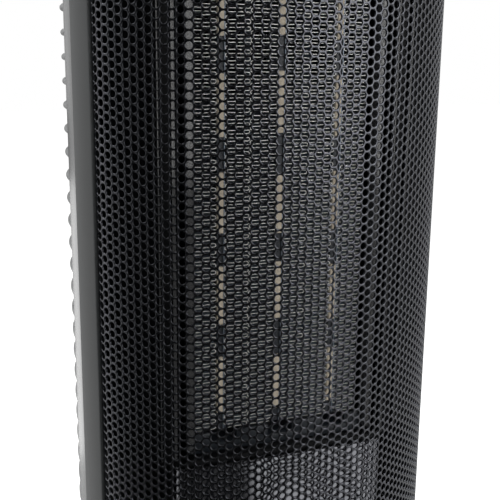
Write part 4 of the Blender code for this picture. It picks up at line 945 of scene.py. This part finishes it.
def flatShape(bm, centre, scale, points, z):
    bm.faces.new([bm.verts.new((centre[0] + scale * x, centre[1] + scale * y, z)) for x, y in points])


def drawSign(bm, name, c, z):
    w, r = button["line"], button["ring"]
    x, y = c
    if name == "power":
        arcBand(bm, c, r, w, 120, 420, z)
        flatBar(bm, (x, y + 0.3 * mm), (x, y + 2.9 * mm), w, z)
    elif name == "heat":
        for i in (-1, 0, 1):
            cx = x + 1.5 * mm * i
            arcBand(bm, (cx, y + 1.1 * mm), 1.1 * mm, w, 110, 250, z)
            arcBand(bm, (cx - 0.75 * mm, y - 1.0 * mm), 1.1 * mm, w, -70, 70, z)
    elif name == "timer":
        arcBand(bm, c, r, w, 0, 360, z)
        flatBar(bm, (x, y), (x, y + 1.5 * mm), w, z)
        flatBar(bm, (x - w / 2, y), (x + 1.2 * mm, y), w, z)
    elif name == "swing":
        arcBand(bm, (x, y + 1.6 * mm), 2.6 * mm, w, 215, 325, z)
        for side in (-1, 1):
            head = [(side * px, py) for px, py in arrowHead][::side]
            flatShape(bm, (x + side * 2.2 * mm, y + 0.3 * mm), 1.0 * mm, head, z)
    else:
        flatShape(bm, c, 2.4 * mm, flameOutline, z)


def addButtons():
    radius, edge = button["radius"], button["edge"]
    for name in button["names"]:
        node = "button_" + name
        a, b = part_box(node)
        flange = (b.x - a.x) / 2
        step = a.z + button["flange"]
        dish = b.z - button["dish"]
        profile = [(0.0, a.z), (flange, a.z), (flange, step), (radius, step)]
        profile += arc((radius - edge, b.z - edge), (edge, edge), 0, 90, 4)
        profile += [(radius - button["rim"], b.z - button["rimDrop"]), (radius * 0.5, dish), (0.0, dish)]
        bm = turned(profile, button["steps"], place=(*middle(a, b), 0.0))
        addPiece("key_" + name, bm, "button", node, (node,), 40)
        bm = bmesh.new()
        drawSign(bm, name, middle(a, b), dish - button["sink"])
        pushFaces(bm, bm.faces[:], (0.0, 0.0, button["raise"]))
        closeShape(bm)
        addPiece("sign_" + name, bm, "glyph", node, (), 30)


addPanel()
addButtons()
print("stage: panel and buttons")


# Base cover with a soft shoulder, and the feet
base = {
    "radius": high("base_cover").x, "wall": 2.4 * mm, "steps": 128, "edge": 0.4 * mm,
    "sideTop": 22 * mm, "shoulder": 20 * mm, "shoulderSteps": 12, "rimDrop": 3 * mm,
    "opening": 30.8 * mm, "lip": ((1.0 * mm, 0.05 * mm), (0.0, 0.5 * mm), (0.0, 3.0 * mm)),
    "glandHole": 5.8 * mm, "glandSteps": 24, "patch": (10.2 * mm, 8.5 * mm),
}
foot = {"chamfer": 0.8 * mm, "edge": 0.2 * mm, "rise": (0.3 * mm, 0.9 * mm), "top": 0.3 * mm, "steps": 40}


def addBase():
    bottom, top = heights("base_cover")
    rise = top - base["rimDrop"] - base["sideTop"]
    profile = [(base["radius"] - base["edge"], bottom), (base["radius"], bottom + base["edge"])]
    profile += arc((base["radius"] - base["shoulder"], base["sideTop"]), (base["shoulder"], rise), 0, 90,
                   base["shoulderSteps"])
    profile += [(base["opening"] + out, top - drop) for out, drop in base["lip"]]
    bm = turned(profile, base["steps"])
    a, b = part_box("cord_gland")
    z = (a.z + b.z) / 2
    halfWide, halfHigh = base["patch"]
    levels = [z - halfHigh, z + halfHigh]
    for level in levels:
        cutPlane(bm, (0.0, 0.0, level), (0.0, 0.0, 1.0), dist=same)
    patch = []
    for f in bm.faces:
        m = f.calc_center_median()
        if m.y > 0 and abs(m.x) < halfWide and levels[0] < m.z < levels[1]:
            patch.append(f)
    bmesh.ops.delete(bm, geom=patch, context="FACES")
    floor, roof = levels[0] - close, levels[1] + close
    loop = [e for e in bm.edges if e.is_boundary and all(
        v.co.y > 0 and abs(v.co.x) < 2 * halfHigh and floor < v.co.z < roof for v in e.verts)]
    ring = bmesh.ops.create_circle(
        bm, cap_ends=False, segments=base["glandSteps"], radius=base["glandHole"],
        matrix=Matrix.Translation((0.0, base["radius"], z)) @ Matrix.Rotation(pi / 2, 4, "X"),
    )["verts"]
    for v in ring:
        v.co.y = (base["radius"] ** 2 - v.co.x ** 2) ** 0.5
    bmesh.ops.bridge_loops(bm, edges=loop + list({e for v in ring for e in v.link_edges}))
    closeShape(bm)
    faceOutwards(bm, (1, 0, 0))
    piece = addPiece("base_shell", bm, "baseGloss", "base", ("base_cover",), 40)
    addWall(piece, base["wall"])


def addFeet():
    for name in ("front_left", "front_right", "rear_left", "rear_right"):
        node = "foot_" + name
        a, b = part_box(node)
        radius = (b.x - a.x) / 2
        lower, upper = foot["rise"]
        profile = [(0.0, 0.0), (radius - foot["chamfer"], 0.0), (radius - foot["edge"], lower),
                   (radius, upper), (radius, b.z - foot["top"]), (radius - foot["top"], b.z), (0.0, b.z)]
        bm = turned(profile, foot["steps"], place=(*middle(a, b), 0.0))
        addPiece("pad_" + name, bm, "rubber", "base", (node,), 40)


addBase()
addFeet()
print("stage: base")


# Heater pack: folded fins between side plates, chips on their carriers
pack = {
    "shift": -1.45 * mm, "sheetStep": 1.6 * mm, "sheet": 0.26 * mm, "endGap": 0.6 * mm,
    "wobble": 0.30 * mm, "wobbleSize": (5 * mm, 2.1 * mm), "wobbleShift": 7.3,
    "plate": 0.45 * mm, "platesAt": (1, 2, 4, 6), "plateDrop": 0.3 * mm, "plateEdge": 0.12 * mm,
    "carrierDrop": 1.0 * mm, "carrierEdge": 0.2 * mm, "chip": (2.9 * mm, 27.8 * mm), "chipDepth": 2.5 * mm,
    "chipRise": 0.1 * mm, "chipOver": 0.02 * mm, "chipEdge": 0.25 * mm,
    "chipLows": (
        (280.6, 324.6, 368.2, 412.0, 455.8),
        (278.8, 325.0, 366.5, 413.2, 456.5),
        (279.0, 321.6, 366.8, 411.1, 455.0),
    ),
    "edges": ((-43.3, -32.35), (-28.55, -16.45), (-16.25, -3.2), (0.25, 12.2), (12.4, 25.55), (29.0, 41.3)),
}


def straightRun(bm, vert, length, segments=4):
    for k in range(segments):
        vert = bmesh.ops.extrude_vert_indiv(bm, verts=[vert])["verts"][0]
        bmesh.ops.translate(bm, vec=(length / segments, 0.0, 0.0), verts=[vert])
    return vert


def roundTurn(bm, vert, centre, axis):
    made = bmesh.ops.spin(bm, geom=[vert], cent=centre, axis=axis, angle=pi, steps=5, use_merge=False)
    return onlyVerts(made["geom_last"])[0]


def foldedSheet(left, right, seed):
    # a sheet that runs back and forth, with a round turn at each end
    step = pack["sheetStep"]
    turnRadius = step / 2
    a, b = left + turnRadius, right - turnRadius
    bm = bmesh.new()
    end = straightRun(bm, bm.verts.new((a, packFront, 0.0)), b - a)
    end = roundTurn(bm, end, (b, packFront, turnRadius), (0, -1, 0))
    end = straightRun(bm, end, a - b)
    roundTurn(bm, end, (a, packFront, step + turnRadius), (0, 1, 0))
    source = bm.verts[:] + bm.edges[:]
    folds = int((packTop - packLow - 2 * pack["endGap"]) / (2 * step))
    for k in range(1, folds):
        made = bmesh.ops.duplicate(bm, geom=source)["geom"]
        bmesh.ops.translate(bm, vec=(0.0, 0.0, 2 * step * k), verts=onlyVerts(made))
    joinDoubles(bm, 0.02 * mm)
    bmesh.ops.translate(bm, vec=(0.0, 0.0, packLow + pack["endGap"]), verts=bm.verts)
    wide, tall = pack["wobbleSize"]
    shift = seed * pack["wobbleShift"]
    for v in bm.verts:
        v.co.z += pack["wobble"] * noise.noise(Vector((v.co.x / wide, shift, v.co.z / tall)))
    pushEdges(bm, bm.edges[:], (0.0, packRear - packFront, 0.0))
    bmesh.ops.recalc_face_normals(bm, faces=bm.faces)
    return bm


def addFins():
    for i, (left, right) in enumerate(pack["edges"], 1):
        left, right = left * mm, right * mm
        plate = pack["plate"] if i in pack["platesAt"] else 0.0
        bm = foldedSheet(left + plate, right, i)
        node = "heater_fins_" + str(i)
        piece = addPiece("folded_fins_" + str(i), bm, "fin", "tower", (node,), 60)
        addWall(piece, pack["sheet"], 0.0)
        if plate:
            bm = bmesh.new()
            front = packFront + pack["plateDrop"]
            addBox(bm, (left, front, packLow), (left + plate, packRear, packTop), pack["plateEdge"], 1)
            addPiece("fin_plate_" + str(i), bm, "fin", "tower", (), 30)


def addStrips():
    width, length = pack["chip"]
    for i, place in enumerate(stripPlaces, 1):
        x = place + pack["shift"]
        bm = bmesh.new()
        front = packFront + pack["carrierDrop"]
        half = width / 2
        addBox(bm, (x - half, front, packLow), (x + half, packRear, packTop), pack["carrierEdge"], 1)
        addPiece("strip_carrier_" + str(i), bm, "holder", "tower", (), 30)
        bm = bmesh.new()
        half += pack["chipOver"]
        for z in pack["chipLows"][i - 1]:
            z *= mm
            addBox(bm, (x - half, packFront - pack["chipRise"], z),
                   (x + half, packFront + pack["chipDepth"], z + length), pack["chipEdge"], 3)
        addPiece("strip_chips_" + str(i), bm, "ceramic", "tower", ("ceramic_strip_" + str(i),), 30)


# Holders below and above the pack, with notches at the strips
holder = {
    "floorShare": 0.45, "overlap": 0.5 * mm, "frontWall": 1.6 * mm, "rearWall": 1.0 * mm,
    "notch": 6.3 * mm, "notchShift": 1.7 * mm, "edge": 0.3 * mm, "frontEdge": 0.35 * mm,
}


def addHolders():
    notches = [place + pack["shift"] + holder["notchShift"] for place in stripPlaces]
    for name, flip in (("bottom", 1), ("top", -1)):
        node = "heater_frame_" + name
        a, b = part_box(node)
        bm = bmesh.new()
        start, end = (a.z, b.z) if flip > 0 else (b.z, a.z)
        ledge = start + flip * (b.z - a.z) * holder["floorShare"]
        levels = sorted((start, ledge))
        addBox(bm, (a.x, a.y, levels[0]), (b.x, b.y, levels[1]), holder["edge"], 2)
        levels = sorted((ledge - flip * holder["overlap"], end))
        addBox(bm, (a.x, packRear - holder["rearWall"], levels[0]), (b.x, b.y, levels[1]), holder["edge"], 2)
        edges = [a.x] + [x + s * holder["notch"] for x in notches for s in (-1, 1)] + [b.x]
        for k in range(0, len(edges), 2):
            inner = (edges[k + 1], a.y + holder["frontWall"], levels[1])
            addBox(bm, (edges[k], a.y, levels[0]), inner, holder["frontEdge"], 2)
        addPiece("pack_holder_" + name, bm, "holder", "tower", (node,), 30)


addFins()
addStrips()
addHolders()


# Duct walls with rounded bends, and the gloss rails beside the pack
duct = {
    "wall": 1.2 * mm, "bend": 0.9 * mm, "railDepth": 3.0 * mm, "railRound": 0.35 * mm, "railGap": 1.0 * mm,
    "line": ((48.4, -24.0), (48.4, -31.0), (52.6, -31.0), (52.6, -41.0),
             (54.6, -41.6), (61.0, -41.9), (80.0, -31.0)),
    "rails": ((43.75, 48.2, -41.0, 0.7), (52.8, 54.8, -42.9, 0.5), (60.4, 61.4, -44.2, 0.2)),
}


def addDucts():
    a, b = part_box("duct_left")
    for name, side in (("left", -1), ("right", 1)):
        bm = bmesh.new()
        verts, edges = chain(bm, [(side * x * mm, y * mm, a.z) for x, y in duct["line"]])
        pushEdges(bm, edges, (0.0, 0.0, b.z - a.z))
        soften(bm, [e for e in bm.edges if len(e.link_faces) == 2], duct["bend"], 5)
        piece = addPiece("duct_wall_" + name, bm, "duct", "tower", ("duct_" + name,), 30)
        addWall(piece, duct["wall"], 0.0)
        bm = bmesh.new()
        for near, far, y, slant in duct["rails"]:
            # each rail's face turns a little towards the middle
            edges = sorted((side * near * mm, side * far * mm))
            front = y * mm
            made = addBox(bm, (edges[0], front, a.z + duct["railGap"]),
                          (edges[1], front + duct["railDepth"], b.z - duct["railGap"]))
            for v in made:
                if abs(v.co.x) > (near + far) / 2 * mm and v.co.y < front + close:
                    v.co.y -= slant * mm
            soften(bm, {e for v in made for e in v.link_edges}, duct["railRound"], 3)
        addPiece("duct_rail_" + name, bm, "rail", "tower", (), 30)


addDucts()
print("stage: heater pack and ducts")


# Mirror-like screen of the flame unit: upright below the pack, swelling out further down
screen = {
    "wall": 1.5 * mm, "top": 258.7 * mm, "front": -48.2 * mm, "flatHalf": 44.5 * mm, "corner": 10.0 * mm,
    "cornerTurn": 72.0, "cornerShare": 0.25, "columns": 72,
    "swell": (221.0 * mm, 100.0 * mm), "swellSteps": 14, "lowGap": 6.0 * mm, "spread": 46.0,
}


def screenLine(across):
    # plan line of the upright part: flat with round ends
    flat = 1 - screen["cornerShare"]
    if abs(across) <= flat:
        return screen["flatHalf"] * across / flat, screen["front"]
    turn = radians(screen["cornerTurn"]) * (abs(across) - flat) / screen["cornerShare"]
    x = screen["flatHalf"] + screen["corner"] * sin(turn)
    return (x if across > 0 else -x), screen["front"] + screen["corner"] * (1 - cos(turn))


def addScreen():
    start, end = screen["swell"]
    steps = screen["swellSteps"]
    rows = [(screen["top"], 0.0)]
    rows += [(start + (end - start) * i / steps, (1 - cos(pi * i / steps)) / 2) for i in range(steps + 1)]
    rows += [(low("flame_screen").z, 1.0)]
    bm = bmesh.new()
    bmesh.ops.create_grid(bm, x_segments=screen["columns"], y_segments=len(rows) - 1, size=1.0)
    for v in bm.verts:
        across = v.co.x
        z, share = rows[round((1.0 - v.co.y) / 2 * (len(rows) - 1))]
        x, y = screenLine(across)
        lowX, lowY = towerPoint(radians(screen["spread"]) * across, screen["lowGap"])
        v.co = (x + (lowX - x) * share, y + (lowY - y) * share, z)
    bmesh.ops.recalc_face_normals(bm, faces=bm.faces)
    faceOutwards(bm, (0, -1, 0))
    piece = addPiece("screen_shell", bm, "screen", "tower", ("flame_screen",), 40)
    addWall(piece, screen["wall"])


addScreen()
print("stage: flame screen")


# Finishes for the CAD nodes that keep their shape
keptFinishes = {
    "inner": ("base_plate", "tip_switch", "tower_hub", "mid_shelf", "top_shelf", "blower_scroll",
              "blower_tongue", "fan_wheel", "flame_housing", "flame_mask"),
    "nylon": ("thrust_washer", "tip_plunger", "swing_pinion", "sector_gear", "thermal_cutout"),
    "steel": ("swing_motor", "fan_bearing", "fan_motor", "flame_motor"),
    "circuit": ("control_board", "lamp_board", "power_board"),
    "rubber": ("cord_gland",),
    "filter": ("intake_filter",),
    "foil": ("flame_spindle",),
}
for finish, names in keptFinishes.items():
    for name in names:
        slots = nodes[name].material_slots
        if not slots:
            nodes[name].data.materials.append(finishes[finish])
        for spot in slots:
            spot.material = finishes[finish]
print("stage: finishes on the kept parts")

print("stage: done")
